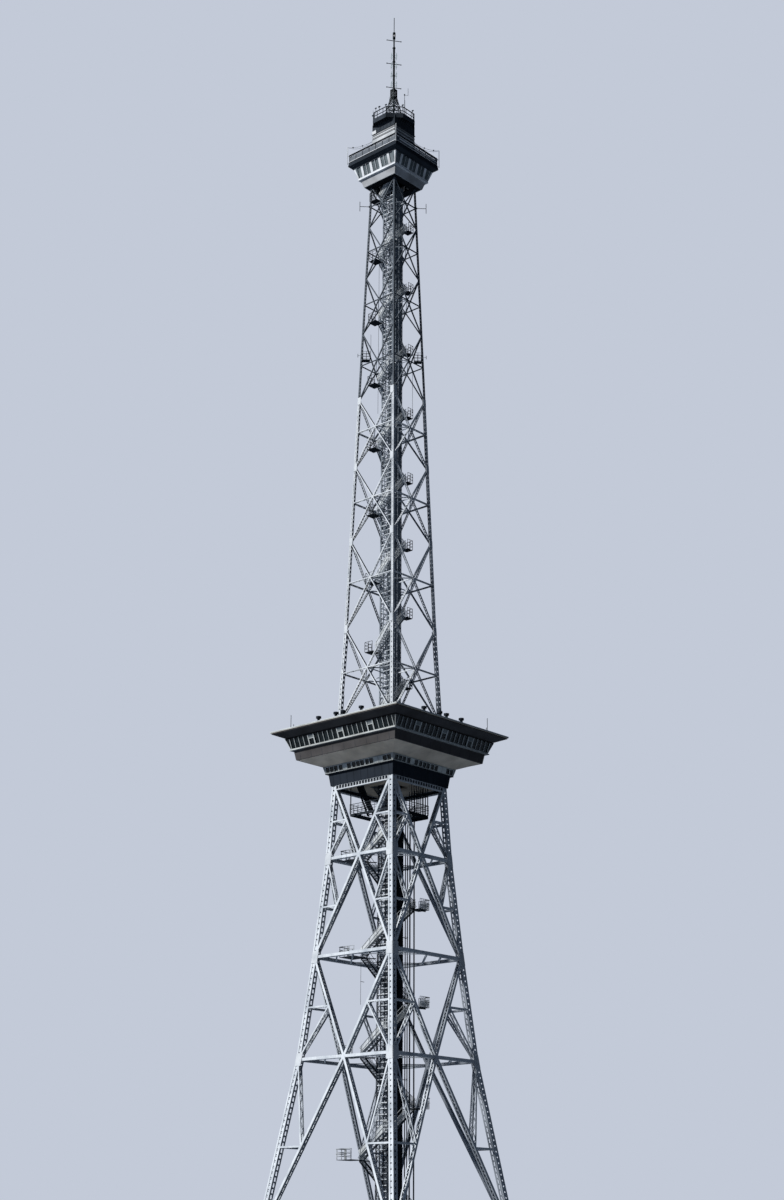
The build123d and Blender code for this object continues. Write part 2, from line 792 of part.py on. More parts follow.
# Look-out cabin: apron, piers and windows that lean out, and a fascia under the open deck.
apron = sloping_panel(
    head_z + clearance, cabin_floor_half, apron_top_z, apron_top_half, cabin_wall_thickness
)
cabin_sill = ledge(
    cabin_sill_half,
    apron_top_half - cabin_wall_thickness,
    apron_top_z + clearance,
    cabin_sill_z - clearance,
)
cabin_levels = (cabin_sill_z, cabin_sill_half, cabin_head_z, cabin_head_half)
cabin_band = window_band(*cabin_levels, cabin_wall_thickness, cabin_bays, pier_width)
save("cabin_walls", all_round(apron) + all_round(cabin_sill) + all_round(cabin_band))
glass += all_round(glass_sheet(*cabin_levels, cabin_wall_thickness))
save("window_glass", glass)
cabin_floor = []
cabin_floor_reach = cabin_floor_half - cabin_wall_thickness - clearance
for hand in (-1, 1):
    y0, y1 = sorted((hand * core_hole_half, hand * cabin_floor_reach))
    foot_z = head_z + clearance
    cabin_floor.append(block(-cabin_floor_reach, cabin_floor_reach, y0, y1, foot_z, cabin_floor_z))
    side = core_hole_half - clearance
    cabin_floor.append(block(y0, y1, -side, side, foot_z, cabin_floor_z))
save("cabin_floor", cabin_floor)
fascia = sloping_panel(
    fascia_foot_z, fascia_foot_half, deck_z - deck_thickness - clearance, deck_half, cabin_wall_thickness
)
cabin_ceiling = sloping_panel(
    cabin_head_z + clearance,
    cabin_head_half - cabin_wall_thickness,
    fascia_foot_z,
    fascia_foot_half - cabin_wall_thickness - 2 * clearance,
    eave_thickness,
    inwards=up,
)
save("deck_fascia", all_round(fascia) + all_round(cabin_ceiling))
save("deck", block(-deck_half, deck_half, -deck_half, deck_half, deck_z - deck_thickness, deck_z))
parapet = ledge(
    parapet_half, parapet_half - parapet_thickness, deck_z + clearance, deck_z + parapet_height
)
save("deck_parapet", all_round(parapet))

# Machine room: a plain square housing on the deck, closed by the gallery above it.
room_half = machine_room_half
save(
    "machine_room",
    block(-room_half, room_half, -room_half, room_half, deck_z + clearance, gallery_z - clearance),
)


def octagon(half, z, height, rotation=22.5):
    """A flat octagonal slab, with its size across the flats."""
    outline = RegularPolygon(half, 8, major_radius=False, rotation=rotation)
    return extrude(Pos(0, 0, z) * outline, amount=height)


# Octagonal gallery with posts at its corners and two rails.
gallery_top_z = gallery_z + gallery_thickness
save("gallery", octagon(gallery_half, gallery_z, gallery_thickness))
rail_half = gallery_half - gallery_rail_inset
half_corner = radians(22.5)
rail_seat = rail_half - rail_width - clearance - rail_width / 2 * sin(half_corner)
rail_post_reach = rail_seat / cos(half_corner) - rail_width / 2
gallery_railing = []
for index in range(8):
    turned = Rot(0, 0, 45 * index + 22.5)
    post = Pos(rail_post_reach, 0, gallery_top_z + clearance + rail_height / 2)
    gallery_railing.append(turned * post * Box(rail_width, rail_width, rail_height))
outer_end = rail_half * tan(half_corner)
inner_end = (rail_half - rail_width) * tan(half_corner)
rail = Polygon(
    (rail_half, -outer_end),
    (rail_half, outer_end),
    (rail_half - rail_width, inner_end),
    (rail_half - rail_width, -inner_end),
    align=None,
)
for rail_z in (gallery_top_z + rail_height / 2, gallery_top_z + rail_height - rail_width):
    for index in range(8):
        gallery_railing.append(Rot(0, 0, 45 * index) * extrude(Pos(0, 0, rail_z) * rail, amount=rail_width))
save("gallery_railing", gallery_railing)

# Mast: a tapered lattice foot, a short square frame, tubes, beacon, whip and crossbars.
box_foot_z = gallery_top_z + mast_foot_height
box_top_z = box_foot_z + mast_box_height
foot_levels = [gallery_top_z + 2 * clearance + share * mast_foot_height for share in mast_foot_levels]
foot_halves = [mast_foot_half + (mast_box_half - mast_foot_half) * share for share in mast_foot_levels]
foot_side = crossed_panels(foot_levels, foot_halves, mast_foot_bar, mast_foot_brace, 0, mast_foot_brace)
mast_foot = all_round(foot_side)
for x_hand, y_hand in corners.values():
    foot_reach = mast_foot_half - mast_foot_bar / 2
    top_reach = mast_box_half - mast_foot_bar / 2
    start = Vector(x_hand * foot_reach, y_hand * foot_reach, gallery_top_z + clearance)
    line = Vector(x_hand * top_reach, y_hand * top_reach, box_foot_z - clearance) - start
    post = Pos(*start) * Rectangle(mast_foot_bar, mast_foot_bar)
    mast_foot.append(extrude(post, amount=line.length, dir=line))
save("mast_foot", mast_foot)

mast_box = []
side = mast_box_half
for foot_z in (box_foot_z, box_top_z - mast_box_plate):
    mast_box.append(block(-side, side, -side, side, foot_z, foot_z + mast_box_plate))
box_post_height = mast_box_height - 2 * mast_box_plate - 2 * clearance
for x_hand, y_hand in corners.values():
    reach = mast_box_half - mast_foot_bar / 2
    middle = Pos(x_hand * reach, y_hand * reach, (box_foot_z + box_top_z) / 2)
    mast_box.append(middle * Box(mast_foot_bar, mast_foot_bar, box_post_height))
save("mast_box", mast_box)

tube_foot_z = box_top_z + clearance
tube_top_z = box_top_z + mast_tube_length
beacon_z = tube_top_z + mast_upper_length
beacon_top_z = beacon_z + beacon_height
whip_foot_z = beacon_top_z + clearance
upper_tube_foot_z = tube_top_z + clearance
upper_tube_top_z = beacon_z - clearance
save(
    "mast_tube",
    [
        rod((0, 0, tube_foot_z), (0, 0, tube_top_z), mast_tube_radius, sides=16),
        rod((0, 0, upper_tube_foot_z), (0, 0, upper_tube_top_z), mast_upper_radius, sides=12),
    ],
)
save("mast_beacon", rod((0, 0, beacon_z), (0, 0, beacon_top_z), beacon_radius, sides=12))
save("mast_whip", rod((0, 0, whip_foot_z), (0, 0, beacon_top_z + whip_length), whip_radius))
crossbars = []
for z, radius in [
    (tube_foot_z + low_crossbar_rise, mast_tube_radius),
    (tube_top_z - middle_crossbar_drop, mast_tube_radius),
    (beacon_z - top_crossbar_drop, mast_upper_radius),
]:
    for hand in (-1, 1):
        root = hand * (radius + clearance)
        tip = hand * crossbar_length / 2
        knob = hand * (crossbar_length / 2 + clearance)
        knob_end = hand * (crossbar_length / 2 + knob_length)
        turned = Rot(0, 0, crossbar_heading)
        crossbars.append(turned * rod((root, 0, z), (tip, 0, z), crossbar_radius, sides=6))
        crossbars.append(turned * rod((knob, 0, z), (knob_end, 0, z), knob_radius, sides=6))
save("mast_crossbars", crossbars)
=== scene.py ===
from math import cos, hypot, pi, radians, sin, sqrt, tan

import bmesh
import bpy
from mathutils import Matrix, Vector


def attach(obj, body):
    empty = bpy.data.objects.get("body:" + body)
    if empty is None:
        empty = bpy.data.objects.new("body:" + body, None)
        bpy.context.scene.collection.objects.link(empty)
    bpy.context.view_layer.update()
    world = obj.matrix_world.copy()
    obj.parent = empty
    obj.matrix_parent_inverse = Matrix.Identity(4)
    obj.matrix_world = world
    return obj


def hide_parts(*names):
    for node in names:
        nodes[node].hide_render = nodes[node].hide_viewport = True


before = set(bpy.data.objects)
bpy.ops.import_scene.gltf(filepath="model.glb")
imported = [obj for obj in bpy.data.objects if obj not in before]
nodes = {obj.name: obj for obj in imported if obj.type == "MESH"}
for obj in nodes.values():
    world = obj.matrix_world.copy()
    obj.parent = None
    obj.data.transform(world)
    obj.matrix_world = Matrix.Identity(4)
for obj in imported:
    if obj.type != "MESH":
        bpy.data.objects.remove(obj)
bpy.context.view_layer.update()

# Plinths and shaft pad: tapered blocks of cast concrete on the ground, one under each leg.
# Cast against boards and left bare, so the grey is mottled, a little darker where water runs down,
# and slightly pitted.


def linear(colour):
    """An sRGB hex colour as linear red, green, blue and alpha."""
    channels = [int(colour[i:i + 2], 16) / 255 for i in (1, 3, 5)]
    return [c / 12.92 if c <= 0.04045 else ((c + 0.055) / 1.055) ** 2.4 for c in channels] + [1.0]


def add_node(material, kind, settings=None, links=None):
    """Add a node with its settings and its links from other sockets."""
    node = material.node_tree.nodes.new(kind)
    for key, value in (settings or {}).items():
        if isinstance(key, str) and key not in node.inputs:
            setattr(node, key, value)
        else:
            node.inputs[key].default_value = value
    for key, source in (links or {}).items():
        material.node_tree.links.new(source, node.inputs[key])
    return node


def new_finish(name, roughness):
    """A material with its shader, and the object coordinates that its patterns follow."""
    material = bpy.data.materials.new(name)
    material.use_nodes = True
    shader = material.node_tree.nodes["Principled BSDF"]
    shader.inputs["Roughness"].default_value = roughness
    shader.inputs["Specular IOR Level"].default_value = 0.5 if roughness < 0.2 else 0.04
    place = add_node(material, "ShaderNodeTexCoord").outputs["Object"]
    return material, shader, place


def mottle(material, place, size, stretch=1.0, detail=4.0):
    """Noise of a size in millimetres, drawn out upwards by the stretch."""
    scaled = add_node(
        material, "ShaderNodeMapping", {"Scale": (1, 1, 1 / stretch)}, {"Vector": place}
    ).outputs["Vector"]
    settings = {"Scale": 1000 / size, "Detail": detail}
    return add_node(material, "ShaderNodeTexNoise", settings, {"Vector": scaled}).outputs["Fac"]


def blend_colours(material, factor, low, high, start, end):
    """A colour that goes from low to high as the factor goes from start to end."""
    share = add_node(
        material, "ShaderNodeMapRange", {"From Min": start, "From Max": end}, {"Value": factor}
    ).outputs["Result"]
    mix = add_node(material, "ShaderNodeMix", {"data_type": "RGBA"}, {0: share})
    for key, colour in ((6, low), (7, high)):
        if isinstance(colour, str):
            mix.inputs[key].default_value = linear(colour)
        else:
            material.node_tree.links.new(colour, mix.inputs[key])
    return mix.outputs[2]


def coat(material, shader, colour, height, depth):
    """Give the shader its colour, and a bump of a depth in millimetres."""
    settings = {"Strength": 1.0, "Distance": depth / 1000}
    bump = add_node(material, "ShaderNodeBump", settings, {"Height": height})
    material.node_tree.links.new(colour, shader.inputs["Base Color"])
    material.node_tree.links.new(bump.outputs["Normal"], shader.inputs["Normal"])


def dress(material, *names):
    """Give a finish to nodes that keep their own shape."""
    for name in names:
        for slot in nodes[name].material_slots:
            slot.material = material


cast_concrete, shader, place = new_finish("cast_concrete", 0.9)
cloudy = mottle(cast_concrete, place, 90)
runs = mottle(cast_concrete, place, 14, stretch=9)
grey = blend_colours(cast_concrete, cloudy, "#8f8c85", "#a9a69e", 0.35, 0.65)
stained = blend_colours(cast_concrete, runs, grey, "#77746d", 0.6, 0.75)
coat(cast_concrete, shader, stained, mottle(cast_concrete, place, 6), 0.6)
dress(cast_concrete, "leg_plinths", "lift_shaft_pad")

# Lower legs: four box columns, each riveted up from four steel angles with batten plates between them.
# They bend at every node of the bracing, so they are made in straight runs, and painted silver grey.
# The paint is dull and dusty, with greyer streaks that run down it and small specks of rust.
leg_levels = [
    (0.300, 0.920), (2.020, 0.662), (3.060, 0.560), (4.090, 0.475),
    (4.880, 0.435), (6.650, 0.360), (12.250, 0.192),
]
leg_width = 0.060
angle_flange = 0.019
angle_thickness = 0.003
batten_pitch = 0.057
batten_cover = 0.043
batten_height = 0.017
batten_thickness = 0.002
front = Vector((0, -1, 0))


def half_at(z):
    """Half of the side of the tower, outside the legs, at a height."""
    for (z0, half0), (z1, half1) in zip(leg_levels, leg_levels[1:]):
        if z <= z1:
            return half0 + (half1 - half0) * (z - z0) / (z1 - z0)
    return leg_levels[-1][1]


def axes(start, end, outward):
    """The directions along, out of and across a straight member."""
    along = (end - start).normalized()
    out = (outward - outward.dot(along) * along).normalized()
    return along, out, out.cross(along)


def add_bar(bm, start, end, width, depth, outward):
    """A straight bar between two points, with its depth outwards and its width across."""
    start, end = Vector(start), Vector(end)
    along, out, across = axes(start, end, outward)
    place = Matrix((across * width, out * depth, end - start)).transposed().to_4x4()
    place.translation = (start + end) / 2
    bmesh.ops.create_cube(bm, size=1, matrix=place)


def middles(start, end, pitch):
    """The middles of even steps between two points, each step about a pitch long."""
    count = max(1, round((end - start).length / pitch))
    return [start.lerp(end, (index + 0.5) / count) for index in range(count)]


def laced_column(bm, start, end, width, flange, thickness, pitch, plate, cover=0):
    """A box column of four angles, with batten plates on each face, and taller ones on the outer two."""
    along, out, across = axes(start, end, front)
    edge = (width - flange) / 2
    skin = (width - thickness) / 2
    rest = (width - flange - thickness) / 2
    for u in (-1, 1):
        for v in (-1, 1):
            face = across * u * edge + out * v * skin
            add_bar(bm, start + face, end + face, flange, thickness, out)
            side = across * u * skin + out * v * rest
            add_bar(bm, start + side, end + side, thickness, flange - thickness, out)
    reach = width / 2 - thickness
    inset = width / 2 - thickness - batten_thickness / 2
    for middle in middles(start, end, pitch):
        for v in (-1, 1):
            face = middle + out * v * inset
            tall = max(plate, cover) if v > 0 else plate
            add_bar(bm, face - across * reach, face + across * reach, tall, batten_thickness, out)
            face = middle + across * v * inset
            tall = max(plate, cover * 0.75) if across.x * v > 0 else plate
            add_bar(bm, face - out * reach, face + out * reach, tall, batten_thickness, across)


def all_round(bm, count=4):
    """Repeat what has been made, turned evenly round the tower, so many times in all."""
    first = bm.verts[:] + bm.edges[:] + bm.faces[:]
    for turn in range(1, count):
        copy = bmesh.ops.duplicate(bm, geom=first)["geom"]
        corners = [part for part in copy if isinstance(part, bmesh.types.BMVert)]
        spun = Matrix.Rotation(turn * 2 * pi / count, 3, "Z")
        bmesh.ops.rotate(bm, verts=corners, cent=(0, 0, 0), matrix=spun)


def finish(name, bm, material, slot, *replaced):
    """Make the piece an object that rides with the tower, in place of the nodes that it stands for."""
    mesh = bpy.data.meshes.new(name)
    bm.to_mesh(mesh)
    bm.free()
    mesh.materials.append(material)
    piece = bpy.data.objects.new(name, mesh)
    bpy.context.scene.collection.objects.link(piece)
    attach(piece, "root")
    if replaced:
        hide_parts(*replaced)


def height_of(material, place):
    """The height of each point of a material."""
    return add_node(material, "ShaderNodeSeparateXYZ", {}, {"Vector": place}).outputs["Z"]


def old_paint(name, colour, shade, rust, roughness=0.55, above=None, inside=None, alpha=1.0):
    """Old paint on steel: cloudy, streaked downwards and rusty in specks.

    It may have two other colours above a height, and another one, painted shade, on the faces turned to
    the shaft.
    """
    material, shader, place = new_finish(name, roughness)
    if above:
        level, upper_colour, upper_shade = above
        height = height_of(material, place)
        colour = blend_colours(material, height, colour, upper_colour, level - 0.01, level + 0.01)
        shade = blend_colours(material, height, shade, upper_shade, level - 0.01, level + 0.01)
    cloudy = mottle(material, place, 160)
    streaks = mottle(material, place, 12, stretch=14)
    specks = mottle(material, place, 9, detail=8.0)
    body = blend_colours(material, cloudy, colour, shade, 0.42, 0.75)
    body = blend_colours(material, streaks, body, shade, 0.55, 0.8)
    body = blend_colours(material, specks, body, rust, 0.66, 0.74)
    # Faces turned in towards the shaft blend to the inside colour: painted shade.
    if inside:
        facing = add_node(material, "ShaderNodeTexCoord").outputs["Normal"]
        maths = "ShaderNodeVectorMath"
        flatten = {"operation": "MULTIPLY", 1: (1, 1, 0)}
        level = add_node(material, maths, flatten, {0: place}).outputs[0]
        outward = add_node(material, maths, {"operation": "NORMALIZE"}, {0: level}).outputs[0]
        links = {0: outward, 1: facing}
        turned_out = add_node(material, maths, {"operation": "DOT_PRODUCT"}, links).outputs["Value"]
        body = blend_colours(material, turned_out, inside, body, -0.10, -0.02)
    shader.inputs["Alpha"].default_value = alpha
    coat(material, shader, body, specks, 0.15)
    return material


def leg_axis(z, width):
    """Middle of the near right leg at a height."""
    offset = half_at(z) - width / 2
    return Vector((offset, -offset, z))


# The faces turned in towards the shaft get a darker grey, which is painted shade.
silver_paint = old_paint(
    "silver_grey_paint_with_painted_inner_shade", "#d3d8dc", "#a7aeb5", "#75675c", inside="#8b9198"
)
dress(silver_paint, "leg_shoes")
bm = bmesh.new()
for (z0, half0), (z1, half1) in zip(leg_levels[:4], leg_levels[1:5]):
    laced_column(
        bm, leg_axis(z0, leg_width), leg_axis(z1, leg_width), leg_width, angle_flange,
        angle_thickness, batten_pitch, batten_height, batten_cover,
    )
all_round(bm)
finish("laced_lower_legs", bm, silver_paint, "lower_steel", "lower_legs")

# Lower bracing: each diagonal is a pair of channels, one in the outer plane of the side and one in
# the inner plane, laced together with flat bars that zigzag between them. Struts are made the same
# way, and light sub-braces stiffen the long diagonals at their middles.
brace_width = 0.026
brace_depth = 0.050
sub_brace_width = 0.016
strut_height = 0.030
channel_thickness = 0.003
channel_lip = 0.009
lacing_pitch = 0.042
lacing_width = 0.006
lacing_thickness = 0.0015


def channel_pair(bm, start, end, width, lip, pitch):
    """Two channels back to back, as deep as a brace, with lacing bars on both of their edges."""
    along, out, across = axes(start, end, front)
    for v in (-1, 1):
        back = out * v * (brace_depth - channel_thickness) / 2
        add_bar(bm, start + back, end + back, width, channel_thickness, out)
        for u in (-1, 1):
            edge = out * v * (brace_depth / 2 - channel_thickness - lip / 2)
            edge += across * u * (width - channel_thickness) / 2
            add_bar(bm, start + edge, end + edge, channel_thickness, lip, out)
    length = (end - start).length
    count = max(2, round(length / pitch))
    reach = brace_depth / 2 - lip / 2 - channel_thickness
    for u in (-1, 1):
        seat = across * u * (width - channel_thickness) / 2
        for index in range(count):
            swing = out * reach * (1 if index % 2 == 0 else -1)
            low = start + along * length * index / count + seat - swing
            high = start + along * length * (index + 1) / count + seat + swing
            add_bar(bm, low, high, lacing_width, lacing_thickness, across)


def on_side(x, z, inset):
    """A point in the front side of the tower, set in from its outer plane."""
    return Vector((x, -half_at(z) + inset, z))


def end_short(start, end, at_start, at_end):
    """The same line, with its ends drawn back."""
    start, end = Vector(start), Vector(end)
    along = (end - start).normalized()
    return start + along * at_start, end - along * at_end


def finish_sides(bm, prefix, suffix, material, slot):
    """A piece for each side of the tower from what was made on the front, in place of its node."""
    for turn, side in enumerate(("front", "right", "back", "left")):
        part = bm.copy()
        spun = Matrix.Rotation(turn * pi / 2, 3, "Z")
        bmesh.ops.rotate(part, verts=part.verts, cent=(0, 0, 0), matrix=spun)
        finish(prefix + side + suffix, part, material, slot, side + suffix)


bracing_levels = [z for z, half in leg_levels[:5]]
side_bracing = bmesh.new()
side_struts = bmesh.new()
deep = brace_depth / 2
light = (sub_brace_width, channel_lip / 2, 2 * lacing_pitch)
for index, (z0, z1) in enumerate(zip(bracing_levels, bracing_levels[1:])):
    leg_z, middle_z = (z0, z1) if index % 2 == 0 else (z1, z0)
    half_z = (z0 + z1) / 2
    for hand in (-1, 1):
        leg_end = on_side(hand * (half_at(leg_z) - leg_width / 2), leg_z, deep)
        corner = on_side(hand * (half_at(middle_z) - leg_width / 2), middle_z, deep)
        middle = on_side(0, middle_z, deep)
        centre = (leg_end + middle) / 2
        start, end = end_short(leg_end, middle, leg_width * 0.9, 0)
        channel_pair(side_bracing, start, end, brace_width, channel_lip, lacing_pitch)
        inner_leg = on_side(hand * (half_at(half_z) - leg_width), half_z, deep)
        channel_pair(side_bracing, inner_leg, centre, *light)
        start, end = end_short(corner, centre, leg_width * 0.9, 0)
        channel_pair(side_bracing, start, end, *light)
for z in bracing_levels[1:-1]:
    reach = half_at(z) - leg_width
    start, end = on_side(-reach, z, deep), on_side(reach, z, deep)
    channel_pair(side_struts, start, end, strut_height, channel_lip, lacing_pitch)
all_round(side_struts)
finish("laced_struts", side_struts, silver_paint, "lower_steel", "level_struts")
finish_sides(side_bracing, "laced_", "_lower_bracing", silver_paint, "lower_steel")

# Upper legs: the same built-up columns, slimmer, with their battens close together.
# They stand on the ring beam and run up through the restaurant, and are slender in the upper half.
# Grey paint, darkened on the faces turned to the shaft as painted shade, and darker from the middle
# upwards.
panel_heights = [1.186, 1.030, 0.910, 0.830, 0.865, 0.730, 0.685, 0.550]
panel_nodes = [5.464]
for height in panel_heights:
    panel_nodes.append(panel_nodes[-1] + height)
slender_z = panel_nodes[4]
slender_paint = old_paint(
    "grey_paint_dark_towards_the_top_with_painted_inner_shade", "#d6dadd", "#a0a6ac", "#6f5f52",
    above=(9.42, "#5f666d", "#444b52"), inside="#454c54",
)
upper_legs = [
    (leg_levels[4][0], 5.900, 0.040, 0.012, 0.057),
    (5.900, panel_nodes[1], 0.036, 0.011, 0.057),
    (panel_nodes[1], slender_z, 0.028, 0.010, 0.050),
    (slender_z, panel_nodes[-1], 0.019, 0.007, 0.045),
]
bm = bmesh.new()
for z0, z1, width, flange, pitch in upper_legs:
    ends = leg_axis(z0, width), leg_axis(z1, width)
    laced_column(bm, *ends, width, flange, 0.0025, pitch, pitch * 0.45, pitch * 0.75)
all_round(bm)
finish("laced_upper_legs", bm, slender_paint, "upper_steel", "upper_legs")

# Upper lattice: eight crossed panels a side. Each diagonal is a pair of light angles, one in the
# outer plane and one in the inner plane, with short battens between, and a strut goes through each
# crossing. The upper four panels are lighter and shallower, and have no gussets.
lowest_brace_z = 5.565
lattice_lip = 0.006
lattice_thickness = 0.0022
lattice_batten = 0.009


def angle_pair(bm, start, end, width, depth, pitch, outward):
    """Two light angles, apart by the depth, with a short batten between them at an even pitch."""
    along, out, across = axes(start, end, outward)
    for v in (-1, 1):
        back = out * v * (depth - lattice_thickness) / 2
        add_bar(bm, start + back, end + back, width, lattice_thickness, out)
        edge = out * v * (depth / 2 - lattice_thickness - lattice_lip / 2)
        edge += across * (width - lattice_thickness) / 2
        add_bar(bm, start + edge, end + edge, lattice_thickness, lattice_lip, out)
    reach = out * (depth / 2 - lattice_thickness)
    for middle in middles(start, end, pitch):
        add_bar(bm, middle - reach, middle + reach, width * 0.8, lattice_batten, along)


crossings = []
side_lattice = bmesh.new()
for z0, z1 in zip([lowest_brace_z] + panel_nodes[1:], panel_nodes[1:]):
    slender = z0 > slender_z - 0.001
    leg = 0.019 if slender else 0.030
    brace, depth, strut = (0.0105, 0.014, 0.0075) if slender else (0.011, 0.026, 0.010)
    foot = half_at(z0) - leg / 2
    top = half_at(z1) - leg / 2
    cross_z = z0 + (z1 - z0) * foot / (foot + top)
    crossings.append(cross_z)
    for hand in (-1, 1):
        ends = on_side(hand * foot, z0, depth / 2), on_side(-hand * top, z1, depth / 2)
        start, end = end_short(*ends, leg * 0.8, leg * 0.8)
        angle_pair(side_lattice, start, end, brace, depth, 0.036, front)
        if slender:
            add_bar(side_lattice, start, end, 0.0025, depth * 0.8, front)
    reach = half_at(cross_z) - leg
    start, end = on_side(-reach, cross_z, depth / 2), on_side(reach, cross_z, depth / 2)
    angle_pair(side_lattice, start, end, strut, depth, 0.09, front)
finish_sides(side_lattice, "paired_", "_upper_lattice", slender_paint, "upper_steel")

# Gussets: flat plates over the legs at each node, held by two rows of bolts near their edges.
# Nearly the same silver paint, more even on the flat plates.
gusset_paint = old_paint("bright_paint_on_plates", "#cbcfd2", "#aab0b5", "#8a7666")
dress(gusset_paint, "gusset_plates")


def add_rod(bm, start, end, radius, segments=8):
    """A straight round rod between two points."""
    start, end = Vector(start), Vector(end)
    along = end - start
    place = along.to_track_quat("Z", "Y").to_matrix().to_4x4()
    place.translation = (start + end) / 2
    bmesh.ops.create_cone(
        bm, cap_ends=True, segments=segments, radius1=radius, radius2=radius, depth=along.length,
        matrix=place,
    )


def add_box(bm, low, high):
    """A block between two opposite corners."""
    low, high = Vector(low), Vector(high)
    place = Matrix.Diagonal(high - low).to_4x4()
    place.translation = (low + high) / 2
    bmesh.ops.create_cube(bm, size=1, matrix=place)


def bolt_rows(bm, z, width, height, rows):
    """Bolt heads in two columns on the gussets at both edges of the front side."""
    for hand in (-1, 1):
        for column in (-1, 1):
            for row in range(rows):
                level = z + height * ((row + 0.5) / rows - 0.5)
                x = hand * (half_at(level) - width / 2 + column * (width / 2 - 0.006))
                y = -half_at(level) - 0.0032
                add_rod(bm, (x, y - 0.0016, level), (x, y + 0.001, level), 0.002, 6)


bm = bmesh.new()
for z in bracing_levels[1:-1]:
    bolt_rows(bm, z, 0.084, 0.122, 7)
for z in panel_nodes[1:5]:
    bolt_rows(bm, z, 0.050, 0.084, 5)
all_round(bm)
finish("gusset_bolts", bm, gusset_paint, "light_steel")

# Plan bracing: light angles inside the frame, level with the struts, that join the middles of the
# four sides in a diamond. Below the ring others cut off the corners, and above it a light bar runs
# in from each side to the shaft.
up_axis = Vector((0, 0, 1))
bm = bmesh.new()
for z in bracing_levels[1:-1]:
    reach = half_at(z) - brace_depth / 2
    inner = reach * 0.42
    for start, end in (((inner, -reach, z), (reach, -inner, z)), ((0, -reach, z), (reach, 0, z))):
        angle_pair(bm, *end_short(start, end, 0.02, 0.02), 0.014, 0.024, 0.09, up_axis)
for z in crossings:
    slender = z > slender_z
    reach = half_at(z) - (0.006 if slender else 0.013)
    size = 0.006 if slender else 0.009
    start, end = end_short((0, -reach, z), (reach, 0, z), 0.012, 0.012)
    angle_pair(bm, start, end, size, 0.010, 0.08, up_axis)
    add_bar(bm, (0, -reach, z), (0, -0.088, z), size, size, up_axis)
all_round(bm)
finish("plan_bracing", bm, silver_paint, "upper_steel")

# Lift shaft: four dark laced posts tied by pale level bars. Three sides are open lattice, and sheets
# close most of the right side, below the ring beam and again above the restaurant's roof.
# Dark blue-grey paint with dull streaks below the restaurant's roof, darkened there as painted shade of
# the restaurant storey, and a paler grey above the roof.
shaft_half = 0.085
shaft_post = 0.016
shaft_foot_z = 0.0303
ring_z = 4.88
restaurant_roof_z = 5.56
head_z = 12.25
rightwards = Vector((1, 0, 0))
# Below the restaurant's roof the colours are darker: painted shade of the restaurant storey.
shaft_paint = old_paint(
    "blue_grey_paint_with_painted_shade_below_roof", "#343b43", "#20262c", "#54453b",
    above=(restaurant_roof_z, "#868f97", "#636b73"),
)


def add_turned(target, part, turn, lift=0):
    """Add a part to a piece, turned by so many quarters and lifted."""
    mesh = bpy.data.meshes.new("part")
    part.to_mesh(mesh)
    mesh.transform(Matrix.Translation((0, 0, lift)) @ Matrix.Rotation(turn * pi / 2, 4, "Z"))
    target.from_mesh(mesh)
    bpy.data.meshes.remove(mesh)


axis = shaft_half - shaft_post / 2
reach = shaft_half - shaft_post
side_y = -shaft_half + 0.004
bm = bmesh.new()
ends = Vector((axis, -axis, shaft_foot_z)), Vector((axis, -axis, head_z))
laced_column(bm, *ends, shaft_post, 0.006, 0.0015, batten_pitch, 0.018)
for x in (-0.028, 0.028):
    add_bar(bm, (x, side_y, shaft_foot_z), (x, side_y, head_z), 0.006, 0.006, front)
all_round(bm)
rungs = bmesh.new()
for middle in middles(*ends, batten_pitch):
    for y in (-side_y, side_y):
        add_bar(rungs, (-reach, y, middle.z), (reach, y, middle.z), 0.009, 0.005, front)
    add_bar(rungs, (side_y, -reach, middle.z), (side_y, reach, middle.z), 0.009, 0.005, rightwards)
for turn in range(4):
    side = bmesh.new()
    foot_z = ring_z if turn == 1 else shaft_foot_z
    count = round((head_z - foot_z) / (2 * batten_pitch))
    pitch = (head_z - foot_z) / count
    for index in range(count):
        low = foot_z + index * pitch
        x = reach if index % 2 else -reach
        add_bar(side, (x, side_y - 0.003, low), (-x, side_y - 0.003, low + pitch), 0.006, 0.003, front)
    for x0, x1, low, high in (
        (-reach, -0.046, shaft_foot_z, ring_z), (-0.030, reach, shaft_foot_z, ring_z),
        (-reach, -0.040, restaurant_roof_z, head_z), (-0.022, 0.018, restaurant_roof_z, head_z),
        (0.030, reach, restaurant_roof_z, head_z),
    ) if turn == 1 else ():
        add_box(side, (x0, side_y + 0.003, low), (x1, side_y + 0.0045, high))
    add_turned(bm, side, turn)
finish("shaft_lattice", bm, shaft_paint, "shaft_steel", "lift_shaft_frame")
rung_paint = old_paint("pale_paint_on_shaft_rungs", "#c9cdd0", "#989ea3", "#857064")
finish("shaft_rungs", rungs, rung_paint, "shaft_steel")

# Stair: open grating treads with a nosing strip, between plate stringers, with a handrail on both
# sides and a wire panel on the outer one. Cages of rails close the landings that stand out.
# Galvanised steel, dull and mottled, dark below the restaurant as painted shade of the restaurant
# storey, and pale above it.
# Below the restaurant's roof the galvanised colours are darker: painted shade of the restaurant storey.
galvanised = old_paint(
    "galvanised_steel_with_painted_shade_below_roof", "#9a9d9c", "#54595e", "#65564b", 0.5, (restaurant_roof_z, "#e2e5e5", "#c3c7ca")
)
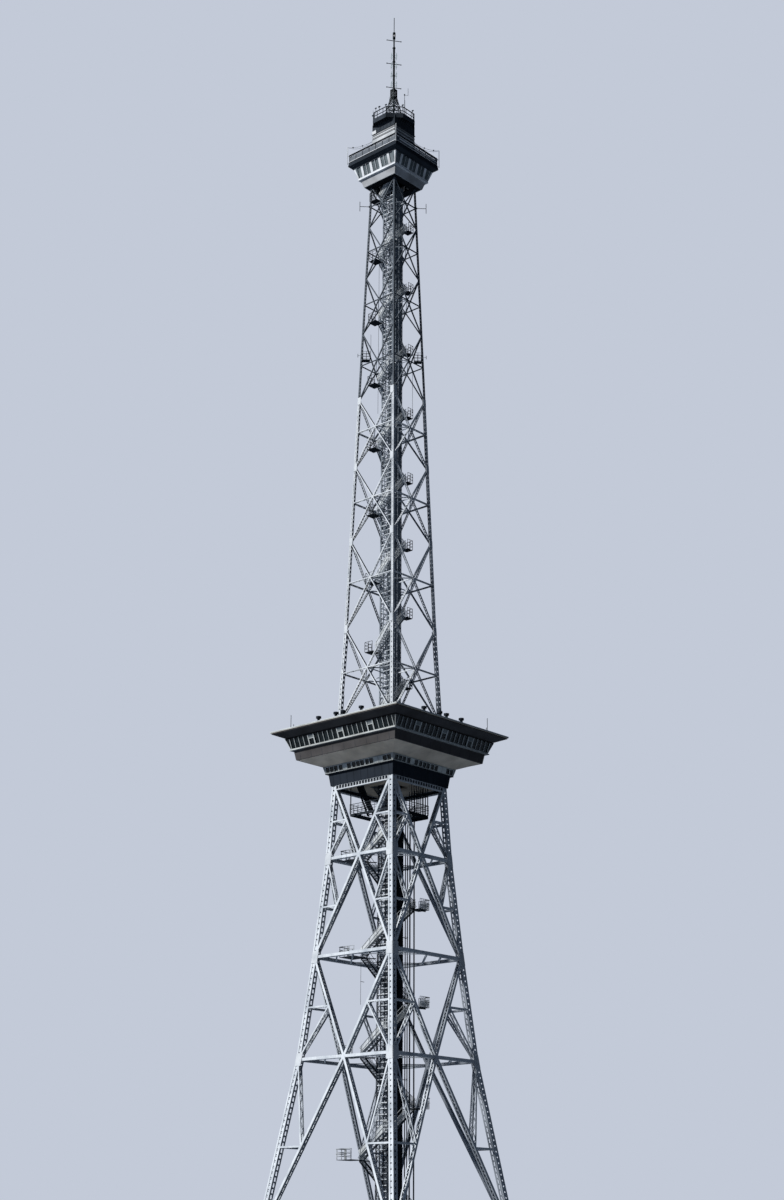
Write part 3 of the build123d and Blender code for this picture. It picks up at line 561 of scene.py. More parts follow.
# The stair paint is darker below the restaurant's roof: painted shade of the restaurant storey.
stair_paint = old_paint(
    "grey_stair_paint_with_painted_shade_below_roof", "#40474e", "#272c32", "#54473d",
    above=(restaurant_roof_z, "#868d93", "#5f666c"),
)
dress(galvanised, "stair_railings")
dress(stair_paint, "stair_landings", "stair_stringers", "stair_brackets")
stair_foot_z = 0.0353
platform_z = 4.580
restaurant_floor_z = 5.1823
cabin_floor_z = 12.264
stringer = 0.004
far_right = 1
near_left = 3
lower_flights = 18
kitchen_flights = 4
upper_flights = 35
rail_rise = 0.100


def add_post(bm, x, y, low, high, radius, segments=6):
    """An upright rod."""
    add_rod(bm, (x, y, low), (x, y, high), radius, segments)


def flight_parts(outer, width, risers, inset, rise):
    """The treads, handrails and wire panel of one flight on the right side, starting at height zero."""
    inner = outer - width
    going = 2 * inner / (risers - 1)
    steps, rails, panels = bmesh.new(), bmesh.new(), bmesh.new()
    x0 = inner + inset + stringer + 0.0003
    x1 = outer - stringer - 0.0003
    depth = going / 3 - 0.0016
    for step in range(1, risers):
        y = -inner + (step - 1) * going
        z = step * rise / risers
        for bar in range(3):
            middle = y + going * (bar + 0.5) / 3
            add_box(steps, (x0, middle - depth / 2, z - 0.002), (x1, middle + depth / 2, z))
        add_box(steps, (x0, y, z - 0.004), (x1, y + 0.003, z + 0.0006))
    for x in (inner + inset + stringer / 2, outer - stringer / 2):
        for height in (rail_rise, rail_rise / 2):
            add_rod(rails, (x, -inner, height), (x, inner, rise + height), 0.0027, 6)
        for share in (0.02, 0.34, 0.66, 0.98):
            foot = rise * share
            add_post(rails, x, -inner + 2 * inner * share, foot, foot + rail_rise, 0.0022)
    x = outer - 0.006
    add_bar(panels, (x, -inner, 0.056), (x, inner, rise + 0.056), 0.080, 0.0008, rightwards)
    return steps, rails, panels


def landing_cage(bm, inner, outer, z, height, posts=2):
    """Three rails and their posts on the two outer edges of a landing at the near right corner."""
    corner = Vector((outer, -outer, z))
    for end in (Vector((inner, -outer, z)), Vector((outer, -inner, z))):
        for bar in (1, 2, 3):
            level = up_axis * height * bar / 3
            add_rod(bm, end + level, corner + level, 0.0028, 6)
        for post in range(posts):
            foot = end.lerp(corner, post / posts)
            add_post(bm, foot.x, foot.y, z, z + height, 0.0027)
    add_post(bm, outer, -outer, z, z + height, 0.0032)


lower_stair = (0.240, 0.084, 12, 0.010)
upper_stair = (0.146, 0.0607, 10, 0.0)
steps, rails, panels = bmesh.new(), bmesh.new(), bmesh.new()
for stair, foot_z, top_z, count, first_corner in (
    (lower_stair, stair_foot_z, platform_z, lower_flights, far_right - lower_flights),
    (upper_stair, platform_z, restaurant_floor_z, kitchen_flights, far_right),
    (upper_stair, restaurant_floor_z, cabin_floor_z, upper_flights, far_right),
):
    rise = (top_z - foot_z) / count
    for target, part in zip((steps, rails, panels), flight_parts(*stair, rise)):
        for index in range(count):
            add_turned(target, part, (first_corner + index) % 4, foot_z + index * rise)
finish("stair_grating", steps, galvanised, "stair_steel", "stair_treads")
lower_rise = (platform_z - stair_foot_z) / lower_flights
lower_landings = [
    ((far_right - lower_flights + index) % 4, stair_foot_z + index * lower_rise)
    for index in range(1, lower_flights)
]
for corner, z in lower_landings:
    cage = bmesh.new()
    outer = {far_right: 0.300, near_left: 0.358}.get(corner, 0.238)
    landing_cage(cage, 0.158, outer, z, 0.105, 5 if corner == far_right else 3)
    add_turned(rails, cage, corner)
    if corner == far_right:
        sheet = bmesh.new()
        low, high = z + 0.008, z + 0.062
        add_box(sheet, (0.162, -outer + 0.004, low), (outer - 0.005, -outer + 0.005, high))
        add_box(sheet, (outer - 0.005, -outer + 0.005, low), (outer - 0.004, -0.162, high))
        add_turned(panels, sheet, corner)
upper_rise = (cabin_floor_z - restaurant_floor_z) / upper_flights
plates = bmesh.new()
for index in range(1, upper_flights):
    corner = (far_right + index) % 4
    z = restaurant_floor_z + index * upper_rise
    if z < restaurant_roof_z - 0.06:
        continue
    stands_out = corner in (far_right, near_left)
    outer = {far_right: 0.172, near_left: 0.198}.get(corner, 0.144)
    landing = bmesh.new()
    landing_cage(landing, 0.088, outer, z, 0.110)
    if stands_out:
        add_box(landing, (0.147, -outer, z - 0.008), (outer, -0.086, z - 0.001))
        add_box(landing, (0.086, -outer, z - 0.008), (0.1465, -0.147, z - 0.001))
        add_box(landing, (0.088, -0.1455, z - 0.012), (0.1455, -0.088, z - 0.0085))
    add_turned(plates if stands_out else rails, landing, corner)
plate_paint = old_paint("dark_paint_on_landings", "#22272c", "#171b1f", "#3b322b")
finish("outstanding_landings", plates, plate_paint, "stair_steel")
# The handrail paint is darker below the restaurant's roof: painted shade of the restaurant storey.
rail_paint = old_paint(
    "pale_handrail_paint_with_painted_shade_below_roof", "#b9bdbf", "#858b90", "#77665a",
    above=(restaurant_roof_z, "#d6d9db", "#b0b5b9"),
)
finish("stair_handrails", rails, rail_paint, "light_steel")
wire_mesh = old_paint("woven_wire_mesh", "#e4e7e6", "#c8cccb", "#8d7c6f", alpha=0.38)
finish("stair_wire_panels", panels, wire_mesh, "light_steel")

# Cable duct and risers: a sheet duct with straps on the shaft's right side behind the near leg, and
# two coated risers, clamped to the outside of the stair at its far right landings.
duct_paint = old_paint("dark_duct_paint", "#23292f", "#171b1f", "#40362f", 0.6)
bm = bmesh.new()
add_box(bm, (0.0855, 0.046, 0.060), (0.128, 0.088, 4.560))
for index in range(18):
    z = 0.250 + index * 0.245
    add_box(bm, (0.0852, 0.044, z), (0.130, 0.090, z + 0.008))
finish("cable_duct", bm, duct_paint, "shaft_steel")
riser_x = 0.2535
bm = bmesh.new()
for y in (0.050, 0.116):
    add_post(bm, riser_x, y, 0.045, 4.560, 0.0075, 8)
    add_post(bm, riser_x, y, 0.0355, 0.047, 0.012, 8)
for corner, z in lower_landings:
    if corner == far_right:
        low, high = z - 0.017, z - 0.007
        add_box(bm, (riser_x - 0.003, 0.042, low), (riser_x + 0.003, 0.300, high))
        add_box(bm, (0.236, 0.240, low), (riser_x, 0.250, high))
add_box(bm, (0.236, 0.040, 0.0353), (0.270, 0.130, 0.040))
finish("stair_risers", bm, duct_paint, "shaft_steel")

# Kitchen stair: a steep closed stair, from the platform's left side up to the kitchen's floor.
# Two plate stringers with thin steps between them and a sheet under them, painted dark.
bm = bmesh.new()
low = Vector((-0.200, -0.075, 4.588))
high = Vector((-0.200, -0.250, 4.888))
for x in (-0.038, 0.038):
    add_bar(bm, low + x * rightwards, high + x * rightwards, 0.004, 0.022, rightwards)
for index in range(16):
    middle = low.lerp(high, (index + 0.5) / 16)
    step = Vector((0.037, 0.010, 0.001))
    add_box(bm, middle - step, middle + step)
ends = low + Vector((0, 0.012, 0.050)), high + Vector((0, 0.012, -0.002))
add_bar(bm, *ends, 0.076, 0.002, -front)
finish("kitchen_stair", bm, duct_paint, "stair_steel")

# Cabinet and cables: a pale switch cabinet on the shaft's front, under the platform, and thin loose
# cables that hang from landings and braces inside the frame.
bm = bmesh.new()
add_box(bm, (-0.066, -0.106, 4.340), (-0.006, -0.0865, 4.462))
finish("shaft_cabinet", bm, rail_paint, "light_steel")
bm = bmesh.new()
for x, y, low, high in (
    (-0.1500, -0.0720, 9.300, 11.400), (-0.1940, -0.1560, 9.960, 10.300),
    (0.1690, 0.1690, 9.300, 9.820), (-0.2010, -0.2010, 2.580, 3.062),
):
    add_post(bm, x, y, low, high, 0.0018)
add_box(bm, (-0.203, -0.203, 2.815), (-0.199, -0.150, 2.820))
finish("hanging_cables", bm, duct_paint, "light_steel")

# Pipes: two dark risers beside the shaft, with a black coating, joined by pairs of flanges between
# every two clamps.
pipe_paint = old_paint("black_pipe_coating", "#2c3237", "#1f2327", "#4f4137", 0.6)
dress(pipe_paint, "service_pipes")
pipe_x = 0.1504
bm = bmesh.new()
for y in (0.095, 0.128):
    for index in range(6):
        z = shaft_foot_z + 0.72 * (index + 0.5)
        for drop in (-0.009, 0.009):
            add_post(bm, pipe_x, y, z + drop - 0.002, z + drop + 0.002, 0.0085, 8)
finish("pipe_flanges", bm, pipe_paint, "shaft_steel")

# Service platform: a grating deck round the stair with close railings, hung from the kitchen floor.
# The rails, the posts and the deck are dull dark grey, with joists under the deck.
platform_paint = old_paint("grey_paint_on_platform", "#2e343a", "#1e2328", "#3c322b")
dress(platform_paint, "service_platform")


def spread(low, high, count):
    """So many values, evenly from low to high."""
    return [low + (high - low) * index / (count - 1) for index in range(count)]


rail_half = 0.2979
bm = bmesh.new()
for x in spread(-rail_half, rail_half, 11):
    add_post(bm, x, -rail_half, platform_z, platform_z + 0.105, 0.002)
for z in (platform_z + 0.026, platform_z + 0.078):
    add_rod(bm, (-rail_half, -rail_half, z), (rail_half, -rail_half, z), 0.0018, 6)
for x in spread(-0.27, 0.27, 7):
    add_box(bm, (x - 0.002, -0.2945, platform_z - 0.022), (x + 0.002, -0.2425, platform_z - 0.0102))
add_box(bm, (-0.2945, -0.2945, platform_z - 0.024), (0.2945, -0.2905, platform_z - 0.0102))
all_round(bm)
finish("platform_rails_and_joists", bm, platform_paint, "light_steel")

# Hoist cage: close upright bars from the platform's right half up to the kitchen's floor, on the right
# side and the back, held by flat rails. Painted like the duct.
cage_line = 0.2925
cage_end = 0.026
bm = bmesh.new()
for along in spread(0.030, 0.2918, 8):
    for x, y in ((cage_line, along), (along, cage_line)):
        add_post(bm, x, y, platform_z, ring_z - 0.001, 0.0042, 8)
inside, outside = cage_line - 0.003, cage_line + 0.003
for rise, height in ((-0.040, 0.029), (0.100, 0.006), (0.200, 0.006)):
    low, high = platform_z + rise, platform_z + rise + height
    add_box(bm, (inside, cage_end, low), (outside, outside, high))
    add_box(bm, (cage_end, inside, low), (inside - 0.0005, outside, high))
finish("hoist_cage", bm, duct_paint, "light_steel")

# Ring beam: a deep plate girder between the legs under the kitchen, with upright stiffeners.
# Its web is dark and its stiffeners are bright, painted like the gussets.
ring_half = 0.435
beam_foot_z = 4.828
reach = ring_half - leg_width - 0.002
bm = bmesh.new()
add_box(bm, (-reach, -0.4410, beam_foot_z), (reach, -0.4180, beam_foot_z + 0.012))
add_box(bm, (-reach, -0.4410, ring_z - 0.004), (reach, -0.4180, ring_z))
for x in spread(-reach, reach, 19):
    add_box(bm, (x - 0.0045, -0.4400, beam_foot_z + 0.012), (x + 0.0045, -0.4300, ring_z - 0.006))
all_round(bm)
finish("ring_beam_flanges", bm, gusset_paint, "dark_cladding", "ring_beam")
dark_sheet = old_paint("dark_coated_sheet", "#262c34", "#1b2027", "#3a3431", 0.5)
bm = bmesh.new()
add_box(bm, (-reach, -0.4300, beam_foot_z + 0.004), (reach, -0.4270, ring_z - 0.004))
all_round(bm)
finish("ring_beam_webs", bm, dark_sheet, "dark_cladding")

# Kitchen storey: dark sheet walls with upright seams, and a band of windows with pale frames.
# One pane in five is a blank panel.
kitchen_wall = ((4.880, 0.446), (5.010, 0.464))
kitchen_band = ((5.010, 0.487), (5.085, 0.508))
pane_edge = 0.009
corner_post = 0.016


def on_slope(low, high, x, share):
    """A point on the front of a leaning wall, so far along and so much of the way up."""
    z = low[0] + (high[0] - low[0]) * share
    return Vector((x, -(low[1] + (high[1] - low[1]) * share), z))


def slope_normal(low, high):
    """The direction straight out of the front of a leaning wall."""
    return Vector((0, -(high[0] - low[0]), -(high[1] - low[1]))).normalized()


def add_strip(bm, wall, start, end, width, depth, stand):
    """A bar on a leaning wall, between two points given by their x and share of the way up."""
    out = slope_normal(*wall)
    ends = [on_slope(*wall, x, share) + out * stand for x, share in (start, end)]
    add_bar(bm, *ends, width, depth, out)


def pane_edges(wall, bays, post):
    """The panes' edges in each bay, and the share of the way up at which the panes start."""
    (z0, half0), (z1, half1) = wall
    share = pane_edge / hypot(z1 - z0, half1 - half0)
    half = half0 + (half1 - half0) * share - corner_post
    pane = (2 * half - post * (len(bays) - 1)) / sum(bays)
    x = -half
    groups = []
    for count in bays:
        groups.append([x + pane * index for index in range(count + 1)])
        x += pane * count + post
    return groups, share


def window_frames(bm, wall, groups, share, width, depth, stand, trim, head=True):
    """Mullions between panes, with a rail along the foot of each bay, and along its head if asked."""
    for group in groups:
        first, last = group[0], group[-1]
        for x in group[1:-1]:
            add_strip(bm, wall, (x, share), (x, 1 - share), width, depth, stand)
        for x in (first + width / 2, last - width / 2) if len(group) > 2 else ():
            add_strip(bm, wall, (x, share), (x, 1 - share), width, trim, stand)
        for level in (share, 1 - share) if head else (share,):
            add_strip(bm, wall, (first, level), (last, level), width, trim, stand)


def blank_panel(bm, wall, edges, shares, stand):
    """A closed panel in part of a pane."""
    middle = sum(edges) / 2
    add_strip(bm, wall, (middle, shares[0]), (middle, shares[1]), edges[1] - edges[0], 0.003, stand)


def split_finish(name, levels, colours, roughness=0.5, stain="#55504a"):
    """Coated sheet whose colour changes at given heights, streaked with dirt."""
    material, shader, place = new_finish(name, roughness)
    height = height_of(material, place)
    body = colours[0]
    for level, colour in zip(levels, colours[1:]):
        body = blend_colours(material, height, body, colour, level - 0.0004, level + 0.0004)
    cloudy = mottle(material, place, 220)
    streaks = mottle(material, place, 16, stretch=10)
    settings = {"data_type": "RGBA", "blend_type": "MULTIPLY", 0: 1.0, 7: linear("#d4d2d0")}
    darker = add_node(material, "ShaderNodeMix", settings, {6: body}).outputs[2]
    body = blend_colours(material, cloudy, body, darker, 0.4, 0.7)
    stained = blend_colours(material, streaks, body, stain, 0.66, 0.95)
    coat(material, shader, stained, cloudy, 0.4)
    return material


frame_paint = old_paint("pale_window_frames", "#cdd2d0", "#a4aaa8", "#8d857a", 0.4)
kitchen_finish = split_finish("dark_wall_pale_frames", [5.0098], ["#272d35", "#aeb2b0"])
dress(kitchen_finish, "kitchen_walls")
floor_colours = ["#c9bca9", "#b4b5b3", "#5b5b5a", "#1d1f22"]
floor_finish = split_finish("painted_floor_deck", [5.4510, 5.4639, 12.0], floor_colours, 0.8)
dress(floor_finish, "kitchen_floor", "restaurant_floor", "cabin_floor", "restaurant_roof", "deck")
groups, edge = pane_edges(kitchen_band, [3, 3, 3, 3, 3], 0.009)
bm = bmesh.new()
window_frames(bm, kitchen_band, groups, edge, 0.0045, 0.008, -0.002, 0.004)
for bay, pane in ((1, 1), (3, 2), (4, 0)):
    blank_panel(bm, kitchen_band, groups[bay][pane:pane + 2], (edge, 1 - edge), -0.004)
all_round(bm)
finish("kitchen_window_frames", bm, frame_paint, "restaurant_cladding")
bm = bmesh.new()
for x in spread(-0.40, 0.40, 9):
    add_strip(bm, kitchen_wall, (x, 0.0), (x, 1.0), 0.004, 0.0025, 0.0006)
add_box(bm, (-0.489, -0.4905, 5.0065), (0.489, -0.4640, 5.0105))
all_round(bm)
finish("kitchen_seams", bm, dark_sheet, "dark_cladding")

# Restaurant storey: a soffit that spreads far out, a skirt in long sheets, and a band of windows that
# leans out under a dark eave. Panes stand in groups of four or five with an opening light between.
# The upper third of each opening light is a grey flap, and the skirt's joints are narrow.
skirt = ((5.160, 0.712), (5.262, 0.7287))
restaurant_band = ((5.2703, 0.752), (5.392, 0.802))


def corner_panes(bm, wall, x, share, post):
    """A sheet beside the last pane, up to a thin post at the corner, at both ends of each side."""
    (z0, half0), (z1, half1) = wall
    out = slope_normal(*wall)
    foot_x = half0 + (half1 - half0) * share - post
    head_x = half0 + (half1 - half0) * (1 - share) - post
    for hand in (-1, 1):
        points = ((x, share), (max(foot_x, x + 0.0005), share), (head_x, 1 - share), (x, 1 - share))
        verts = [
            bm.verts.new(on_slope(*wall, hand * across, up) + out * 0.0004) for across, up in points
        ]
        copy = bmesh.ops.extrude_face_region(bm, geom=[bm.faces.new(verts)])["geom"]
        moved = [part for part in copy if isinstance(part, bmesh.types.BMVert)]
        bmesh.ops.translate(bm, verts=moved, vec=out * 0.001)
    bmesh.ops.recalc_face_normals(bm, faces=bm.faces[:])
    all_round(bm)


skirt_colours = ["#504e4e", "#c6cac8", "#2a2625"]
walls_finish = split_finish("taupe_skirt_white_frames", [5.2619, 5.3800], skirt_colours)
dress(walls_finish, "restaurant_walls")
# The soffit's pale cream is painted bounce light from below, standing for a brown-grey sheet; the eaves
# above 5.300 are dark grey.
soffit_finish = split_finish("cream_soffit_with_painted_bounce_light", [5.300], ["#e8dac6", "#4b4a4b"], 0.6, "#5a564f")
dress(soffit_finish, "restaurant_soffit", "restaurant_eaves")
glass, shader, place = new_finish("tinted_window_glass", 0.06)
height = height_of(glass, place)
clear = blend_colours(glass, height, "#0d1214", "#5f686a", 8.9, 9.1)
cloudy = blend_colours(glass, height, "#1c2527", "#838b8c", 8.9, 9.1)
tint = blend_colours(glass, mottle(glass, place, 130), clear, cloudy, 0.35, 0.65)
glass.node_tree.links.new(tint, shader.inputs["Base Color"])
shader.inputs["Alpha"].default_value = 0.86
dress(glass, "window_glass")
groups, edge = pane_edges(restaurant_band, [4, 1, 5, 1, 5, 1, 4], 0.009)
bm = bmesh.new()
flaps = bmesh.new()
window_frames(bm, restaurant_band, groups, edge, 0.0042, 0.005, -0.002, 0.003, head=False)
for group in groups:
    if len(group) == 2:
        blank_panel(flaps, restaurant_band, group, (0.62, 1 - edge), -0.006)
        blank_panel(bm, restaurant_band, group, (0.58, 0.62), -0.004)
all_round(bm)
all_round(flaps)
finish("restaurant_window_frames", bm, frame_paint, "restaurant_cladding")
flap_paint = old_paint("grey_flap_paint", "#7f8586", "#666c6e", "#6a6259", 0.5)
finish("restaurant_flaps", flaps, flap_paint, "restaurant_cladding")
corner_glass = old_paint("dark_corner_glass", "#0d1214", "#141a1c", "#1c2527", 0.1)
bm = bmesh.new()
corner_panes(bm, restaurant_band, groups[-1][-1] + 0.0035, edge, 0.007)
finish("restaurant_corner_panes", bm, corner_glass, "window_glass")
bm = bmesh.new()
for x in spread(-0.64, 0.64, 9):
    add_strip(bm, skirt, (x, 0.02), (x, 0.98), 0.0035, 0.0012, 0.0003)
all_round(bm)
finish("restaurant_sheet_joints", bm, dark_sheet, "dark_cladding")

# Roof edge and vents: a pale metal flashing round the flat roof, short round vents with caps near the
# edge, and two thin rods each by the near left and the far right corner.
roof_z = 5.464
roof_half = 0.914
bm = bmesh.new()
outer = roof_half + 0.002
add_box(bm, (-outer, -outer, roof_z - 0.005), (outer, -roof_half, roof_z + 0.003))
add_box(bm, (-roof_half, -roof_half, roof_z), (roof_half, -roof_half + 0.012, roof_z + 0.003))
all_round(bm)
finish("roof_flashing", bm, frame_paint, "restaurant_cladding")
vents = bmesh.new()
rods = bmesh.new()
for x, y in (
    (-0.250, -0.850), (0.004, -0.850), (0.106, -0.850), (0.366, -0.850),
    (0.850, -0.413), (0.850, -0.160), (0.850, -0.053), (0.850, 0.191),
):
    for hand in (-1, 1):
        add_post(vents, hand * x, hand * y, roof_z, roof_z + 0.052, 0.016, 12)
        add_post(vents, hand * x, hand * y, roof_z + 0.050, roof_z + 0.070, 0.029, 12)
for x, y in ((-0.634, -0.880), (0.880, 0.593), (0.634, 0.880), (-0.880, -0.593)):
    add_post(rods, x, y, roof_z, roof_z + 0.150, 0.003, 8)
finish("roof_vents", vents, dark_sheet, "dark_cladding")
finish("roof_rods", rods, pipe_paint, "dark_cladding")

# Cabin: a pale apron, a white sill and windows in pairs between wide white piers, all leaning out,
# under a dark fascia. Thin mullions part the windows of a pair.
cabin_band = ((12.360, 0.296), (12.500, 0.340))
cabin_colours = ["#b2b4b6", "#e6e9eb", "#3a4047"]
cabin_finish = split_finish("pale_apron_white_piers", [12.340, 12.488], cabin_colours)
dress(cabin_finish, "cabin_walls")
fascia_finish = split_finish("dark_head_fascia", [12.5297], ["#363c43", "#2e343b"], 0.9, "#3f4449")
dress(fascia_finish, "deck_fascia")
white_paint = old_paint("white_frame_paint", "#e6e8ea", "#bfc3c7", "#948b80", 0.4)
groups, edge = pane_edges(cabin_band, [1, 2, 2, 2, 1], 0.030)
bm = bmesh.new()
window_frames(bm, cabin_band, groups, edge, 0.0035, 0.006, -0.003, 0.003, head=False)
add_box(bm, (-0.299, -0.299, 12.3415), (0.299, -0.2962, 12.3585))
all_round(bm)
finish("cabin_window_frames", bm, white_paint, "cabin_cladding")
cabin_corner_glass = old_paint("grey_corner_glass", "#5f686a", "#838b8c", "#6f7677", 0.1)
bm = bmesh.new()
corner_panes(bm, cabin_band, groups[-1][-1] + 0.001, edge, 0.024)
finish("cabin_corner_panes", bm, cabin_corner_glass, "window_glass")

# Deck parapet: grey panels between dark posts and white rails, under a thick dark top rail, round the
# open deck. A pale rail is clamped to the posts of the right side, thinner towards the back.
foot = 12.5903
half = 0.377
post_foot, post_head = foot + 0.0065, foot + 0.0715
rails, dark_rails, panels = bmesh.new(), bmesh.new(), bmesh.new()
for x in spread(-half + 0.003, half - 0.003, 8)[:-1]:
    add_box(dark_rails, (x - 0.003, -half - 0.001, post_foot), (x + 0.003, -half + 0.006, post_head))
for low, high in ((foot, foot + 0.006), (foot + 0.072, foot + 0.076)):
    add_box(rails, (-half, -half - 0.003, low), (half - 0.003, -half + 0.006, high))
reach = half - 0.006
add_box(panels, (-reach, -half + 0.001, foot + 0.012), (reach, -half + 0.003, foot + 0.064))
add_box(dark_rails, (-half, -half - 0.007, foot + 0.0765), (half - 0.010, -half + 0.010, foot + 0.0965))
for bm in (rails, panels, dark_rails):
    all_round(bm)
low = foot + 0.0357
for near_y, far_y, height in ((-0.310, 0.020, 0.014), (0.020, 0.366, 0.006)):
    add_box(rails, (half + 0.0005, near_y, low), (half + 0.0045, far_y, low + height))
black_paint = old_paint("black_paint_on_steel", "#1c2024", "#131619", "#2a2521", 0.9)
finish("parapet_top_rail", dark_rails, black_paint, "dark_cladding")
finish("parapet_rails", rails, white_paint, "cabin_cladding", "deck_parapet")
panel_paint = old_paint("grey_parapet_panels", "#636a72", "#545b62", "#6e6766", 0.35, alpha=0.85)
finish("parapet_panes", panels, panel_paint, "parapet_panel")

# Corner poles: slender galvanised poles outside the deck's corners, held by two short arms each.
# Two light wires sag from each pole to the machine room, and the upper one carries small lamps.
pole_half = 0.392
top = Vector((pole_half, -pole_half, 12.800))
far_end = Vector((0.181, -0.181, 12.900))


def on_wire(share, sag):
    """A point so far along a wire that sags between the pole and the machine room."""
    return top.lerp(far_end, share) - up_axis * 4 * sag * share * (1 - share)


bm = bmesh.new()
add_post(bm, pole_half, -pole_half, 12.560, 12.800, 0.0034, 8)
for z in (12.575, 12.672):
    add_rod(bm, (0.380, -0.380, z), (pole_half, -pole_half, z), 0.0028)
for sag in (0.030, 0.055):
    points = [on_wire(share, sag) for share in spread(0, 1, 15)]
    for start, end in zip(points, points[1:]):
        add_rod(bm, start, end, 0.0019, 5)
lamps = bmesh.new()
for share in (0.22, 0.60):
    place = Matrix.Translation(on_wire(share, 0.030))
    bmesh.ops.create_uvsphere(lamps, u_segments=10, v_segments=6, radius=0.009, matrix=place)
all_round(bm)
all_round(lamps)
finish("deck_corner_poles", bm, galvanised, "light_steel")
finish("deck_lamps", lamps, pipe_paint, "light_steel")

# Machine room: pale cladding in level bands on the deck, dark above them, where the dark is partly
# cladding and partly painted shadow of the gallery, with a door, louvres and a small pale box. Dark
# beams and struts under the gallery rest on it.
half = 0.180
deck_z = 12.590
room_top_z = 13.120
gallery_shadow_and_dark_top_z = 12.985
# Above that level the wall is near black: partly dark cladding, partly painted shadow of the gallery.
room_finish = split_finish("pale_bands_dark_top_with_painted_gallery_shadow", [gallery_shadow_and_dark_top_z], ["#97999a", "#2a2f34"], 0.6)
dress(room_finish, "machine_room")
gallery_paint = old_paint("dark_grey_paint_on_gallery", "#40464d", "#2a2f34", "#433a33", 0.9)
dress(gallery_paint, "gallery", "gallery_railing")
band_paint = old_paint("pale_grey_paint_on_sheet", "#cdcfd0", "#a3a7a9", "#7d7469")
bands, darks = bmesh.new(), bmesh.new()
for low, high in ((0.012, 0.124), (0.130, 0.242), (0.248, 0.320), (0.345, 0.362)):
    low, high = deck_z + low, deck_z + high
    add_box(bands, (-half - 0.002, -half - 0.003, low), (half + 0.003, -half, high))
    add_box(darks, (-half, -half - 0.005, high), (half, -half, high + 0.006))
low = gallery_shadow_and_dark_top_z + 0.010
add_box(darks, (-half - 0.008, -half - 0.008, gallery_shadow_and_dark_top_z), (half + 0.008, -half, low))
for x in spread(-0.165, 0.165, 7):
    add_box(darks, (x - 0.003, -half - 0.005, low), (x + 0.003, -half, room_top_z))
    beam, low_z, high_z = x * 0.62, room_top_z - 0.012, room_top_z - 0.0005
    strut = (beam, -half, room_top_z - 0.045), (beam, -0.246, room_top_z - 0.006)
    add_bar(darks, *strut, 0.005, 0.008, front)
    add_box(darks, (beam - 0.003, -0.248, low_z), (beam + 0.003, -half, high_z))
for louvre in range(5):
    z = 12.640 + 0.012 * louvre
    add_box(darks, (0.040, -half - 0.0062, z), (0.120, -half - 0.003, z + 0.005))
add_box(darks, (-0.135, -half - 0.006, deck_z + 0.0003), (-0.075, -half - 0.003, deck_z + 0.205))
# A dark sheet over the upper wall under the gallery: partly dark cladding, partly painted shadow of the
# gallery.
add_box(darks, (-half, -half - 0.002, low), (half + 0.002, -half, room_top_z))
all_round(bands)
all_round(darks)
add_box(bands, (-0.178, -half - 0.012, gallery_shadow_and_dark_top_z - 0.004), (-0.112, -half - 0.0085, gallery_shadow_and_dark_top_z + 0.040))
finish("machine_room_bands", bands, band_paint, "grey_cladding")
finish("machine_room_trim", darks, gallery_paint, "dark_cladding")

# Gallery: round rails over the two of the railing, more posts and a toe board on each side, with
# lamps, cameras and thin whips clamped to the rail, and a tall thin aerial on the right.
gallery_z = 13.132
rail_top_z = gallery_z + 0.105
flat = 0.2445
half_side = flat * tan(pi / 8)
rim = 0.250
bm = bmesh.new()
for share, radius, segments in ((-0.462, 0.004, 6), (0.462, 0.004, 6), (1, 0.0042, 8)):
    add_post(bm, share * half_side, -flat, gallery_z, rail_top_z, radius, segments)
for z, radius in ((gallery_z + 0.052, 0.0045), (gallery_z + 0.106, 0.0055)):
    add_rod(bm, (-half_side, -flat, z), (half_side, -flat, z), radius)
for low, high, inner in ((0, 0.015, rim), (-0.046, -0.0125, 0.248)):
    add_box(bm, (-half_side, -0.2515, gallery_z + low), (half_side, -inner, gallery_z + high))
all_round(bm, 8)
for turn, height, size in (
    (200, 0.040, 0.012), (222, 0.030, 0.014), (252, 0.050, 0.011), (268, 0.035, 0.013),
    (290, 0.030, 0.012), (315, 0.045, 0.013), (338, 0.030, 0.012), (20, 0.040, 0.012),
    (75, 0.030, 0.013), (120, 0.045, 0.012), (165, 0.030, 0.012),
):
    x, y, z = rim * cos(radians(turn)), rim * sin(radians(turn)), rail_top_z + height
    add_post(bm, x, y, rail_top_z - 0.030, z, 0.0025)
    add_box(bm, (x - size, y - size / 2, z), (x + size, y + size / 2, z + size))
for turn, height in ((225, 0.10), (300, 0.14), (345, 0.12), (60, 0.12), (150, 0.10)):
    x, y = rim * cos(radians(turn)), rim * sin(radians(turn))
    add_post(bm, x, y, gallery_z, rail_top_z + height, 0.0016)
x, y, top_z = 0.120, 0.065, gallery_z + 0.425
arm_x, arm_y, arm_z = x + 0.038, y + 0.022, top_z + 0.006
add_post(bm, x, y, gallery_z, top_z, 0.0026)
add_post(bm, x, y, top_z - 0.012, top_z, 0.008, 8)
add_rod(bm, (x, y, top_z - 0.020), (arm_x, arm_y, arm_z - 0.026), 0.0018, 6)
add_post(bm, arm_x, arm_y, arm_z - 0.026, arm_z + 0.070, 0.0022)
finish("gallery_fittings", bm, gallery_paint, "dark_cladding")

